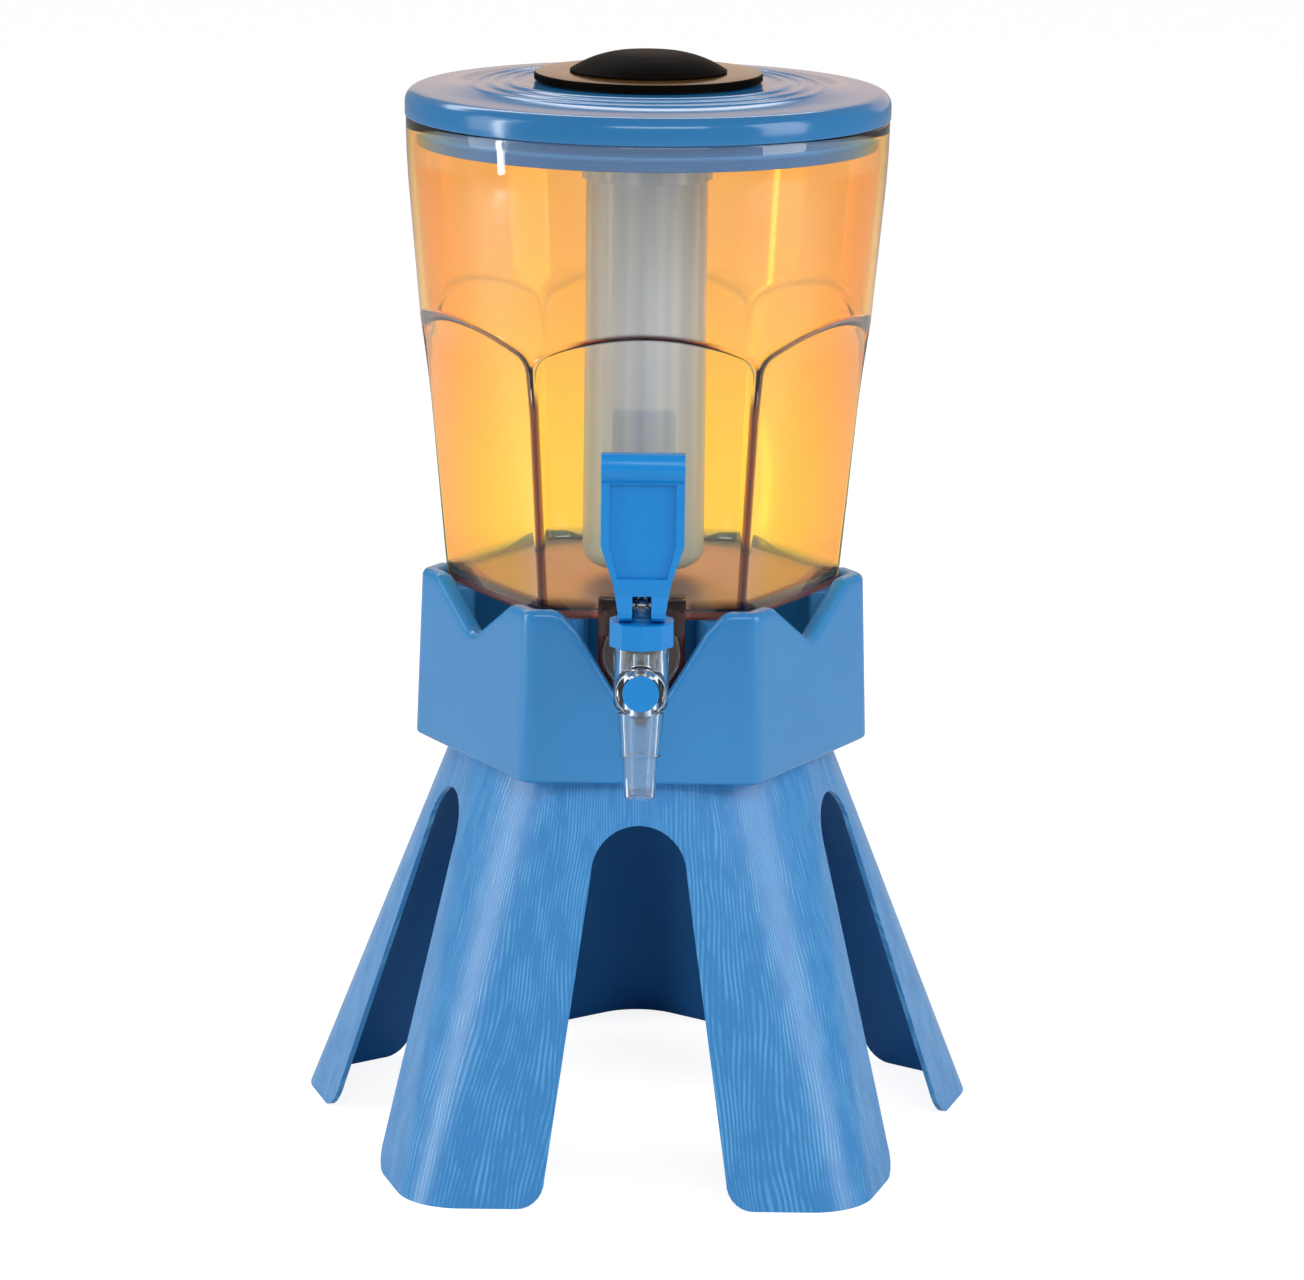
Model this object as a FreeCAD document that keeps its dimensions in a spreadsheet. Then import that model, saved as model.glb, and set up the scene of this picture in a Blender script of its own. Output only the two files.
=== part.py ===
import FreeCAD, Part
import math
import operator
import os
import types

import Sketcher

# Beverage tower: a five-legged sheet skirt carries a six-cornered crown collar. A clear tank with arched
# facets stands in the collar, with a self-closing tap on its sump. A lid, an ice tube hung through it and
# a fill plug close the top. Millimetres, +Z up, the tap towards -Y, the table at Z = 0.

DOC = FreeCAD.newDocument("BeverageTower")
SHEET = DOC.addObject("Spreadsheet::Sheet", "Sizes")

SIZES = [
    # stand
    ("skirt_height", 147.0, "table to the collar's underside"),
    ("skirt_foot_apothem", 110.1, "axis to a flat side of the skirt, at the table"),
    ("skirt_top_apothem", 67.5, "axis to a flat side of the skirt, at its top"),
    ("skirt_foot_corner", 24.0, "bend radius of a leg at the table"),
    ("skirt_top_corner", 58.0, "bend radius of a leg at its top"),
    ("skirt_wall", 2.0, "sheet thickness of the skirt, measured level"),
    ("skirt_deck", 2.5, "thickness of the skirt's top plate"),
    ("deck_hole", 40.0, "radius of the hole in the skirt's top plate"),
    ("arch_height", 131.6, "table to the top of an arch"),
    ("arch_crown", 17.2, "half width of an arch where its round top starts"),
    ("arch_foot", 32.4, "half width of an arch at the table"),
    ("leg_corner", 10.0, "round at the foot of a leg's edge"),
    ("collar_height", 62.5, "underside of the collar to its corner tips"),
    ("collar_foot_apothem", 72.9, "axis to a flat side of the collar, at its underside"),
    ("collar_tip_apothem", 71.0, "axis to a flat side of the collar, at its tips"),
    ("collar_wall", 6.8, "wall of the collar"),
    ("collar_round", 6.5, "round of the collar's corners"),
    ("collar_inner_round", 1.5, "round of the collar's corners inside"),
    ("collar_deck", 3.0, "floor of the collar"),
    ("notch_depth", 16.8, "corner tips down to a side notch"),
    ("notch_half", 28.0, "half width of a side notch at the tips"),
    ("notch_tip_round", 7.0, "round where a notch leaves the tips"),
    ("notch_low_round", 4.0, "round at the bottom of a notch"),
    ("tap_notch_half", 30.0, "half width of the tap's notch at the tips"),
    ("tap_notch_waist", 23.0, "half width of the tap's notch below its shoulder"),
    ("tap_notch_shoulder", 7.9, "tap's inlet up to the shoulder of its notch"),
    ("tap_notch_drop", 25.1, "tap's inlet down to the bottom of its notch"),
    ("tap_notch_low", 3.2, "half width of the tap's notch at its bottom"),
    ("post_reach", 62.0, "axis to the inner side of a corner post"),
    ("post_half", 12.0, "half width of a corner post"),
    ("screw_circle", 53.0, "axis to the screws that join collar and skirt"),
    ("screw_shank", 1.95, "radius of a screw"),
    ("screw_head", 3.8, "radius of a screw's head"),
    ("screw_head_height", 2.4, "height of a screw's head"),
    ("screw_length", 14.0, "length of a screw below its head"),
    ("boss_radius", 4.6, "radius of a screw boss"),
    ("boss_height", 13.0, "height of a screw boss on the collar's floor"),
    # tank
    ("tank_lift", 55.0, "top of the collar's floor to the tank's underside"),
    ("tank_floor", 3.0, "floor of the tank"),
    ("tank_wall", 2.5, "wall of the tank"),
    ("tank_height", 172.5, "underside of the tank to its rim"),
    ("tank_rim", 87.1, "outer radius of the tank at its rim"),
    ("tank_cone_drop", 77.5, "rim down to the level where the cone's radius is given"),
    ("tank_cone_low", 80.7, "outer radius of the tank's cone at that level"),
    ("facet_foot_corner", 71.1, "axis to a facet's corner at the tank's underside"),
    ("facet_foot_bow", 600.0, "radius of a facet's bow at the underside"),
    ("facet_top_corner", 79.2, "axis to a facet's corner at the shoulder"),
    ("facet_top_bow", 117.0, "radius of a facet's bow at the shoulder"),
    ("facet_shoulder", 93.0, "underside of the tank to the shoulder of the facets"),
    ("facet_crown", 15.0, "shoulder up to the level where the facets end in a circle"),
    ("facet_crown_radius", 80.5, "radius of the facets' circle there"),
    ("arch_bow", 76.5, "radius of a facet's arch"),
    ("arch_spring", 97.0, "underside of the tank to the ends of the arch's bow"),
    ("arch_side", 89.0, "underside of the tank to the foot of the arch's corner"),
    ("arch_inner_half", 34.0, "half width of the arch's bow"),
    ("arch_outer_half", 38.9, "half width of the arch's sides"),
    ("arch_corner", 8.5, "radius of the arch's corner"),
    ("sump_half", 15.6, "half width of the sump"),
    ("sump_drop", 29.0, "underside of the tank down to the sump's underside"),
    ("sump_front", 63.1, "axis to the front of the sump"),
    ("sump_back", 36.0, "axis to the back of the sump"),
    ("sump_wall", 2.5, "wall of the sump"),
    ("pad_front", 66.2, "axis to the face of the tap's pad"),
    ("pad_rise", 8.5, "underside of the tank up to the top of the tap's pad"),
    ("pad_round", 14.2, "radius of the tap pad's lower part"),
    # tap
    ("tap_reach", 90.0, "axis of the tower to the axis of the tap"),
    ("inlet_drop", 10.4, "underside of the tank down to the tap's inlet"),
    ("flange_radius", 14.0, "radius of the tap's flange"),
    ("flange_thick", 3.3, "thickness of the tap's flange"),
    ("gasket_thick", 2.0, "thickness of a tap gasket"),
    ("gasket_edge", 1.2, "flange's edge in to the gasket's edge"),
    ("inlet_radius", 7.6, "outer radius of the tap's inlet"),
    ("shank_radius", 8.4, "radius of the tap's threaded shank"),
    ("shank_length", 19.2, "flange's back face to the end of the shank"),
    ("inlet_bore", 5.4, "radius of the inlet's bore"),
    ("chamber_radius", 9.7, "outer radius of the tap's chamber"),
    ("chamber_bore", 7.2, "inner radius of the tap's chamber"),
    ("neck_radius", 8.5, "radius of the tap's threaded neck"),
    ("neck_rise", 7.9, "inlet up to the foot of the threaded neck"),
    ("neck_length", 6.3, "length of the threaded neck"),
    ("seat_drop", 13.4, "inlet down to the valve seat"),
    ("seat_thick", 2.6, "thickness of the valve seat"),
    ("seat_bore", 4.4, "radius of the valve seat's hole"),
    ("spout_top", 8.3, "outer radius of the spout under the chamber"),
    ("spout_step", 7.3, "outer radius of the spout at its step"),
    ("spout_step_drop", 32.2, "inlet down to the spout's step"),
    ("spout_nose", 6.4, "outer radius of the spout's nose at the step"),
    ("spout_tip", 5.5, "outer radius of the spout's tip"),
    ("spout_drop", 47.4, "inlet down to the spout's tip"),
    ("spout_wall", 1.2, "wall of the spout"),
    ("front_boss_radius", 9.1, "radius of the tap's front boss"),
    ("front_boss_reach", 14.4, "tap axis to the face of the front boss"),
    ("front_boss_drop", 6.4, "inlet down to the front boss"),
    ("front_plug_radius", 6.4, "radius of the front plug"),
    ("front_plug_length", 6.0, "length of the front plug"),
    ("front_plug_proud", 0.6, "front boss's face to the plug's face"),
    ("nut_flat", 11.2, "axis of the cap nut to one of its flats"),
    ("nut_height", 9.0, "height of the cap nut"),
    ("nut_top", 2.4, "thickness of the cap nut's top"),
    ("lock_nut_flat", 10.4, "axis of the lock nut to one of its flats"),
    ("lock_nut_length", 6.0, "length of the lock nut"),
    ("running_gap", 0.08, "radial clearance of a running fit"),
    ("fit_gap", 0.05, "clearance round a fixed fit"),
    ("moving_gap", 0.3, "clearance between moving pieces"),
    ("stem_radius", 2.8, "radius of the tap's stem"),
    ("piston_rise", 6.0, "inlet up to the piston's underside"),
    ("piston_thick", 2.6, "thickness of the piston"),
    ("piston_radius", 6.7, "radius of the piston"),
    ("piston_groove", 5.3, "radius at the foot of the piston's groove"),
    ("piston_land", 0.6, "thickness of the lands beside the groove"),
    ("seal_radius", 6.0, "radius of the valve seal"),
    ("seal_height", 6.0, "height of the valve seal"),
    ("seal_sole", 1.6, "thickness of the valve seal under the stem"),
    ("pin_rise", 5.5, "top of the cap nut up to the lever's pin"),
    ("pin_radius", 1.3, "radius of the lever's pin"),
    ("pin_half", 8.0, "half length of the lever's pin"),
    ("stem_head", 2.6, "pin up to the top of the stem"),
    ("stem_round", 1.5, "round of the stem's top"),
    ("spring_coil", 4.5, "coil radius of the return spring"),
    ("spring_wire", 0.4, "wire radius of the return spring"),
    ("spring_turns", 3.5, "turns of the return spring"),
    ("toe_rise", 1.6, "height of the flat front of the lever's toe"),
    # lever, from its pin
    ("lever_half", 14.6, "half width of the lever's paddle"),
    ("lever_waist", 10.2, "half width of the lever's waist"),
    ("lever_foot", 8.1, "half width of the lever's foot"),
    ("lever_top", 54.6, "pin up to the top of the lever"),
    ("lever_roll", 10.0, "height of the rolled grip at the top"),
    ("lever_shoulder", 22.0, "pin up to the foot of the paddle's straight sides"),
    ("lever_waist_rise", 8.8, "pin up to the waist"),
    ("lever_front", 6.5, "pin forward to the paddle's face"),
    ("lever_thick", 4.2, "thickness of the paddle"),
    ("lever_roll_proud", 3.0, "paddle's face forward to the front of the roll"),
    ("lever_heel", 6.2, "pin back to the heel"),
    ("cam_reach", 3.82, "lift of the stem per radian of the lever's tilt"),
    ("cam_round", 6.7, "radius of the lever's cam"),
    ("slot_half", 3.35, "half width of the lever's window"),
    ("slot_rise", 4.2, "pin up to the top of the lever's window"),
    ("slot_back", 3.9, "pin back to the end of the lever's window"),
    ("panel_rim", 3.0, "rim round the paddle's panel"),
    ("panel_deep", 1.5, "depth of the paddle's panel"),
    # lid, ice tube and their caps
    ("lid_radius", 87.6, "radius of the lid"),
    ("lid_side", 3.5, "straight part of the lid's rim"),
    ("lid_round", 6.0, "round of the lid's edge"),
    ("lid_height", 12.0, "tank's rim to the lid's centre"),
    ("lid_thick", 3.0, "thickness of the lid's top"),
    ("plug_depth", 9.5, "tank's rim down to the foot of the lid's plug"),
    ("plug_wall", 3.0, "wall of the lid's plug"),
    ("plug_gap", 0.6, "gap between the lid's plug and the tank at the plug's foot"),
    ("ring_radius", 1.3, "section radius of the lid's seal ring"),
    ("ring_rise", 4.6, "foot of the lid's plug up to its seal ring"),
    ("ripple_first", 50.0, "radius of the lid's first ripple"),
    ("ripple_step", 6.5, "distance between ripples"),
    ("ripple_half", 2.2, "half width of a ripple"),
    ("ripple_bow", 4.0, "section radius of a ripple"),
    ("lid_land", 44.0, "radius of the lid's flat centre"),
    ("lid_hole", 26.9, "radius of the hole in the lid"),
    ("cap_radius", 41.2, "radius of the ice tube's cap"),
    ("cap_thick", 2.8, "thickness of the cap's disc"),
    ("cap_edge", 1.0, "round of the cap's edge"),
    ("cap_gasket_thick", 0.8, "thickness of the cap's gasket"),
    ("cap_gasket_radius", 36.0, "outer radius of the cap's gasket"),
    ("cap_neck", 25.4, "outer radius of the cap's threaded neck"),
    ("cap_neck_length", 22.0, "length of the cap's threaded neck"),
    ("cap_mouth", 18.6, "radius of the cap's fill mouth"),
    ("tube_radius", 22.0, "outer radius of the ice tube"),
    ("tube_wall", 2.0, "wall of the ice tube"),
    ("tube_thread", 21.8, "outer radius of the ice tube's threaded neck"),
    ("tube_thread_length", 18.0, "length of the ice tube's threaded neck"),
    ("tube_collar", 23.6, "radius of the ice tube's collar"),
    ("tube_collar_height", 11.6, "height of the ice tube's collar"),
    ("tube_length", 142.5, "ice tube below its collar"),
    ("tube_round", 7.0, "round at the ice tube's foot"),
    ("tube_seal_thick", 1.0, "thickness of the ice tube's seal"),
    ("dome_radius", 28.3, "radius of the fill plug's dome"),
    ("dome_edge", 0.7, "height of the dome's edge"),
    ("dome_height", 6.8, "height of the dome"),
    ("dome_top", 13.0, "radius of the dome's flat top"),
    ("dome_bow", 40.0, "radius of the dome's bow"),
    ("plug_stem", 17.6, "outer radius of the fill plug's stem"),
    ("plug_stem_wall", 2.0, "wall of the fill plug's stem"),
    ("plug_stem_length", 8.0, "length of the fill plug's stem"),
    ("plug_ring_section", 0.9, "section radius of the fill plug's seal ring"),
]


class Size:
    """A number that keeps the sheet formula it comes from."""

    def __init__(self, value, formula):
        self.value = value
        self.formula = formula

    def __add__(self, other):
        return joined(self, operator.add, "+", other)

    def __radd__(self, other):
        return joined(other, operator.add, "+", self)

    def __sub__(self, other):
        return joined(self, operator.sub, "-", other)

    def __rsub__(self, other):
        return joined(other, operator.sub, "-", self)

    def __mul__(self, other):
        return joined(self, operator.mul, "*", other)

    def __rmul__(self, other):
        return joined(other, operator.mul, "*", self)

    def __truediv__(self, other):
        return joined(self, operator.truediv, "/", other)

    def __neg__(self):
        return self * -1.0


def as_size(number):
    return number if isinstance(number, Size) else Size(float(number), f"({float(number)!r})")


def joined(left, work, sign, right):
    left, right = as_size(left), as_size(right)
    return Size(work(left.value, right.value), f"({left.formula} {sign} {right.formula})")


def cosine(degrees):
    return math.cos(math.radians(degrees))


def sine(degrees):
    return math.sin(math.radians(degrees))


def read_sheet():
    """Fill the sheet and give each size by its name."""
    sizes = {}
    for row, (name, value, note) in enumerate(SIZES, start=1):
        SHEET.set(f"A{row}", note)
        SHEET.set(f"B{row}", str(value))
        SHEET.setAlias(f"B{row}", name)
        sizes[name] = Size(value, f"Sizes.{name}")
    return types.SimpleNamespace(**sizes)


S = read_sheet()

FACES = 6
LEGS = 5
HEX_SIDE = cosine(180 / FACES)
PENTA_SIDE = cosine(180 / LEGS)

# Levels above the table, and places that several pieces share.
SKIRT_BACK = (S.skirt_foot_apothem - S.skirt_foot_corner) / PENTA_SIDE + S.skirt_foot_corner
AXIS_Y = (S.skirt_foot_apothem - SKIRT_BACK) / 2
DECK_Z = S.skirt_height + S.collar_deck
TANK_Z = DECK_Z + S.tank_lift
RIM_Z = TANK_Z + S.tank_height
INLET_Z = TANK_Z - S.inlet_drop
NUT_Z = INLET_Z + S.neck_rise
NUT_TOP_Z = NUT_Z + S.nut_height
PIN_Z = NUT_TOP_Z + S.pin_rise
TAP_Y = AXIS_Y - S.tap_reach
LID_TOP_Z = RIM_Z + S.lid_height
CAP_Z = LID_TOP_Z + S.cap_gasket_thick
CAP_TOP_Z = CAP_Z + S.cap_thick
TUBE_COLLAR_Z = LID_TOP_Z - S.cap_neck_length - S.tube_seal_thick - S.tube_collar_height
CONE_SLOPE = (S.tank_rim - S.tank_cone_low) / S.tank_cone_drop


# Helpers for sketches and features.


def new_body(name, y, z=0.0):
    """A body whose own axes stand at the given place in the part."""
    body = DOC.addObject("PartDesign::Body", name)
    body.Label = name
    body.setExpression("Placement.Base.y", as_size(y).formula)
    body.setExpression("Placement.Base.z", as_size(z).formula)
    return body


def origin_part(body, role):
    return next(item for item in body.Origin.OriginFeatures if item.Role == role)


def new_sketch(body, plane, *outlines, offset=0.0):
    """A sketch on one of the body's planes. An offset goes up from XY, forward from XZ, right from YZ."""
    sketch = body.newObject("Sketcher::SketchObject", f"{body.Name}_outline")
    sketch.AttachmentSupport = [(origin_part(body, f"{plane}_Plane"), "")]
    sketch.MapMode = "FlatFace"
    sketch.setExpression("AttachmentOffset.Base.z", as_size(offset).formula)
    for outline in outlines:
        outline(sketch)
    return sketch


def set_datum(sketch, constraint, size):
    row = sketch.addConstraint(constraint)
    sketch.setExpression(f"Constraints[{row}]", size.formula)


def pin_point(sketch, index, end, x, y):
    for kind, place in (("DistanceX", as_size(x)), ("DistanceY", as_size(y))):
        set_datum(sketch, Sketcher.Constraint(kind, -1, 1, index, end, place.value), place)


def circle(x, y, radius):
    def draw(sketch):
        centre = FreeCAD.Vector(as_size(x).value, as_size(y).value, 0)
        index = sketch.addGeometry(Part.Circle(centre, FreeCAD.Vector(0, 0, 1), radius.value))
        pin_point(sketch, index, 3, x, y)
        set_datum(sketch, Sketcher.Constraint("Radius", index, radius.value), radius)

    return draw


def arc_between(start, end, radius):
    """The shorter arc, with its centre on the left of the way from start to end where radius is above 0."""
    chord = end - start
    across = FreeCAD.Vector(-chord.y, chord.x, 0).normalize()
    depth = math.sqrt(max(radius**2 - (chord.Length / 2) ** 2, 0.0))
    centre = (start + end) * 0.5 + across * math.copysign(depth, radius)
    first, last = (start, end) if radius > 0 else (end, start)
    angles = [math.atan2(point.y - centre.y, point.x - centre.x) for point in (first, last)]
    if angles[1] <= angles[0]:
        angles[1] += 2 * math.pi
    ring = Part.Circle(centre, FreeCAD.Vector(0, 0, 1), abs(radius))
    return Part.ArcOfCircle(ring, angles[0], angles[1])


def outline(*points):
    """A closed outline. A third value in a point makes the side that leaves it an arc of that radius."""

    def draw(sketch):
        places = [FreeCAD.Vector(as_size(p[0]).value, as_size(p[1]).value, 0) for p in points]
        sides = []
        for number, point in enumerate(points):
            start = places[number]
            end = places[(number + 1) % len(points)]
            if len(point) == 2:
                sides.append((sketch.addGeometry(Part.LineSegment(start, end)), 1, 2))
                continue
            bend = as_size(point[2])
            index = sketch.addGeometry(arc_between(start, end, bend.value))
            radius = bend if bend.value > 0 else -bend
            set_datum(sketch, Sketcher.Constraint("Radius", index, radius.value), radius)
            sides.append((index, 1, 2) if bend.value > 0 else (index, 2, 1))
        for number, (index, start_end, _) in enumerate(sides):
            before, _, before_end = sides[number - 1]
            sketch.addConstraint(Sketcher.Constraint("Coincident", before, before_end, index, start_end))
            pin_point(sketch, index, start_end, points[number][0], points[number][1])

    return draw


def rectangle(left, low, right, high):
    return outline((left, low), (right, low), (right, high), (left, high))


def polygon(corner_radius, count, first_angle=0.0, bow=None):
    """A regular outline, with sides that bow outward where a bow radius is given."""
    points = []
    for number in range(count):
        angle = first_angle + 360.0 * number / count
        point = (corner_radius * cosine(angle), corner_radius * sine(angle))
        points.append(point if bow is None else point + (bow,))
    return outline(*points)


def rounded_polygon(apothem, bend, count, first_corner):
    """A regular outline with rounded corners, the first of them at the given angle."""
    points = []
    half = 180.0 / count
    reach = (apothem - bend) / cosine(half)
    for number in range(count):
        corner = first_corner + 2 * half * number
        for side in (-half, half):
            x = reach * cosine(corner) + bend * cosine(corner + side)
            y = reach * sine(corner) + bend * sine(corner + side)
            points.append((x, y, bend) if side < 0 else (x, y))
    return outline(*points)


def add_feature(body, kind, sketch, **settings):
    feature = body.newObject(f"PartDesign::{kind}", f"{body.Name}_{kind}")
    feature.Profile = sketch
    for name, value in settings.items():
        if isinstance(value, Size):
            feature.setExpression(name, value.formula)
        else:
            setattr(feature, name, value)
    sketch.Visibility = False
    DOC.recompute()
    return feature


def cut_feature(body, kind, sketch, **settings):
    """A feature that must take material away."""
    before = body.Shape.Volume
    feature = add_feature(body, kind, sketch, **settings)
    if body.Shape.Volume > before - 1e-3:
        raise ValueError(f"{feature.Name} cuts nothing")
    return feature


def revolve(body, sketch, kind="Revolution"):
    work = cut_feature if kind == "Groove" else add_feature
    return work(body, kind, sketch, ReferenceAxis=(sketch, ["V_Axis"]), Angle=360.0)


def repeat_round(body, features, count):
    """Repeat features round the body's upright axis."""
    pattern = body.newObject("PartDesign::PolarPattern", f"{body.Name}_round")
    pattern.Originals = features
    pattern.Axis = (origin_part(body, "Z_Axis"), [""])
    pattern.Angle = 360.0
    pattern.Occurrences = count
    body.Tip = pattern
    DOC.recompute()
    return pattern


def round_edges(body, wanted, radius, kind="Fillet"):
    """Round, or chamfer, the edges that wanted() picks."""
    base = body.Tip
    names = [f"Edge{n}" for n, edge in enumerate(base.Shape.Edges, start=1) if wanted(edge)]
    if not names:
        raise ValueError(f"{body.Name} has no edge to round")
    feature = body.newObject(f"PartDesign::{kind}", f"{body.Name}_{kind}")
    feature.Base = (base, names)
    feature.setExpression("Radius" if kind == "Fillet" else "Size", as_size(radius).formula)
    DOC.recompute()
    return feature


def ring_body(name, y, z, inner, outer, low, high):
    """A flat ring about an upright axis."""
    body = new_body(name, y, z)
    profile = new_sketch(body, "XZ", rectangle(inner, low, outer, high))
    revolve(body, profile)
    return body


# The stand.


def skirt_level(rise, from_wall):
    """The skirt's outline at a share of its height, set in by a wall."""
    apothem = S.skirt_foot_apothem + (S.skirt_top_apothem - S.skirt_foot_apothem) * rise
    bend = S.skirt_foot_corner + (S.skirt_top_corner - S.skirt_foot_corner) * rise
    return rounded_polygon(apothem - from_wall, bend - from_wall, LEGS, 90.0)


def loft(body, kind, *sketches):
    work = cut_feature if kind == "SubtractiveLoft" else add_feature
    return work(body, kind, sketches[0], Sections=list(sketches[1:]), Ruled=True)


def leg_skirt():
    """A sheet cone that goes from round at the top to five-sided at the table, arched between its legs."""
    body = new_body("leg_skirt", AXIS_Y)
    foot = new_sketch(body, "XY", skirt_level(0.0, 0.0))
    top = new_sketch(body, "XY", skirt_level(1.0, 0.0), offset=S.skirt_height)
    loft(body, "AdditiveLoft", foot, top)
    ceiling = S.skirt_height - S.skirt_deck
    inner_foot = new_sketch(body, "XY", skirt_level(0.0, S.skirt_wall))
    inner_top = new_sketch(body, "XY", skirt_level(ceiling / S.skirt_height, S.skirt_wall), offset=ceiling)
    loft(body, "SubtractiveLoft", inner_foot, inner_top)
    hole = new_sketch(body, "XY", circle(0, 0, S.deck_hole), offset=S.skirt_height)
    cut_feature(body, "Pocket", hole, Length=S.skirt_deck * 2)
    screw = new_sketch(body, "XY", circle(S.screw_circle, 0, S.screw_shank + S.moving_gap), offset=S.skirt_height)
    screw_hole = cut_feature(body, "Pocket", screw, Length=S.skirt_deck * 2)
    repeat_round(body, [screw_hole], FACES)
    spring = S.arch_height - S.arch_crown
    toe = S.arch_foot + S.leg_corner
    below = S.leg_corner * -1.0
    arch = new_sketch(
        body,
        "XZ",
        outline(
            (-toe, below),
            (toe, below),
            (toe, 0, -S.leg_corner),
            (S.arch_foot, S.leg_corner),
            (S.arch_crown, spring, S.arch_crown),
            (0, S.arch_height, S.arch_crown),
            (-S.arch_crown, spring),
            (-S.arch_foot, S.leg_corner, -S.leg_corner),
            (-toe, 0),
        ),
    )
    arch_cut = cut_feature(body, "Pocket", arch, Length=S.skirt_foot_apothem * 1.5, Reversed=True)
    repeat_round(body, [arch_cut], LEGS)
    return body


def collar_level(rise, from_wall, bend):
    """The collar's outline at a share of its height, set in by a wall."""
    apothem = S.collar_foot_apothem + (S.collar_tip_apothem - S.collar_foot_apothem) * rise
    return rounded_polygon(apothem - from_wall, bend, FACES, 0.0)


def is_across_wall(edge, level):
    """True for a straight edge that crosses the collar's wall at a level, clear of the collar's corners."""
    if len(edge.Vertexes) < 2 or any(abs(vertex.Z - level) > 1e-4 for vertex in edge.Vertexes):
        return False
    first, last = (FreeCAD.Vector(vertex.X, vertex.Y, 0) for vertex in edge.Vertexes)
    run = last - first
    if run.Length < edge.Length - 1e-4 or run.Length < S.collar_wall.value * 0.9:
        return False
    return abs(run.normalize().dot(((first + last) * 0.5).normalize())) > 0.85


def crown_collar():
    """A six-cornered crown with a floor, posts in its corners for the tank and a deep notch for the tap."""
    body = new_body("crown_collar", AXIS_Y, S.skirt_height)
    foot = new_sketch(body, "XY", collar_level(0.0, 0.0, S.collar_round))
    tips = new_sketch(body, "XY", collar_level(1.0, 0.0, S.collar_round), offset=S.collar_height)
    loft(body, "AdditiveLoft", foot, tips)
    deck_share = S.collar_deck / S.collar_height
    inner_foot = collar_level(deck_share, S.collar_wall, S.collar_inner_round)
    inner_tips = collar_level(1.0, S.collar_wall, S.collar_inner_round)
    inner_low = new_sketch(body, "XY", inner_foot, offset=S.collar_deck)
    inner_high = new_sketch(body, "XY", inner_tips, offset=S.collar_height)
    loft(body, "SubtractiveLoft", inner_low, inner_high)
    apex = (S.collar_foot_apothem - S.collar_wall) / HEX_SIDE + S.collar_inner_round
    flank = apex - S.post_half / math.tan(math.radians(60))
    post = new_sketch(
        body,
        "XY",
        outline(
            (S.post_reach, -S.post_half),
            (flank, -S.post_half),
            (apex, 0),
            (flank, S.post_half),
            (S.post_reach, S.post_half),
        ),
        offset=S.collar_deck / 2,
    )
    post_pad = add_feature(body, "Pad", post, Length=S.collar_deck / 2 + S.tank_lift)
    repeat_round(body, [post_pad], FACES)
    boss = new_sketch(body, "XY", circle(S.screw_circle, 0, S.boss_radius), offset=S.collar_deck / 2)
    boss_pad = add_feature(body, "Pad", boss, Length=S.collar_deck / 2 + S.boss_height)
    repeat_round(body, [boss_pad], FACES)
    screw = new_sketch(body, "XY", circle(S.screw_circle, 0, S.screw_shank + S.fit_gap))
    depth = S.screw_length - S.skirt_deck + S.moving_gap
    screw_hole = cut_feature(body, "Pocket", screw, Length=depth, Reversed=True)
    repeat_round(body, [screw_hole], FACES)
    wall_start = S.collar_tip_apothem - S.collar_wall - S.moving_gap * 6
    over = S.collar_height + S.collar_wall
    notch = new_sketch(
        body,
        "XZ",
        outline(
            (-S.notch_half, over),
            (-S.notch_half, S.collar_height),
            (0, S.collar_height - S.notch_depth),
            (S.notch_half, S.collar_height),
            (S.notch_half, over),
        ),
        offset=wall_start,
    )
    notch_cut = cut_feature(body, "Pocket", notch, Length=S.collar_wall * 4, Reversed=True)
    repeat_round(body, [notch_cut], FACES)
    inlet = INLET_Z - S.skirt_height
    low = inlet - S.tap_notch_drop
    shoulder = inlet + S.tap_notch_shoulder
    tap_notch = new_sketch(
        body,
        "XZ",
        outline(
            (-S.tap_notch_half, over),
            (-S.tap_notch_half, S.collar_height),
            (-S.tap_notch_waist, shoulder),
            (-S.tap_notch_low, low),
            (S.tap_notch_low, low),
            (S.tap_notch_waist, shoulder),
            (S.tap_notch_half, S.collar_height),
            (S.tap_notch_half, over),
        ),
        offset=wall_start,
    )
    cut_feature(body, "Pocket", tap_notch, Length=S.collar_wall * 4, Reversed=True)
    notch_foot = (S.collar_height - S.notch_depth).value
    round_edges(body, lambda edge: is_across_wall(edge, notch_foot), S.notch_low_round)
    round_edges(body, lambda edge: is_across_wall(edge, S.collar_height.value), S.notch_tip_round)
    return body


def collar_screws():
    """Pan-head screws, up through the skirt's top plate into the collar's bosses."""
    body = new_body("collar_screws", AXIS_Y, S.skirt_height - S.skirt_deck)
    head = new_sketch(body, "XY", circle(S.screw_circle, 0, S.screw_head))
    head_pad = add_feature(body, "Pad", head, Length=S.screw_head_height, Reversed=True)
    shank = new_sketch(body, "XY", circle(S.screw_circle, 0, S.screw_shank))
    shank_pad = add_feature(body, "Pad", shank, Length=S.screw_length)
    repeat_round(body, [head_pad, shank_pad], FACES)
    return body


# The tank.


def cone_radius(rise, inset=0.0):
    """Radius of the tank's cone at a level above its underside."""
    return S.tank_rim - CONE_SLOPE * (S.tank_height - rise) - inset


def facet_corner(rise):
    """Axis to a facet's corner at a level above the tank's underside."""
    return S.facet_foot_corner + (S.facet_top_corner - S.facet_foot_corner) * (rise / S.facet_shoulder)


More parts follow.
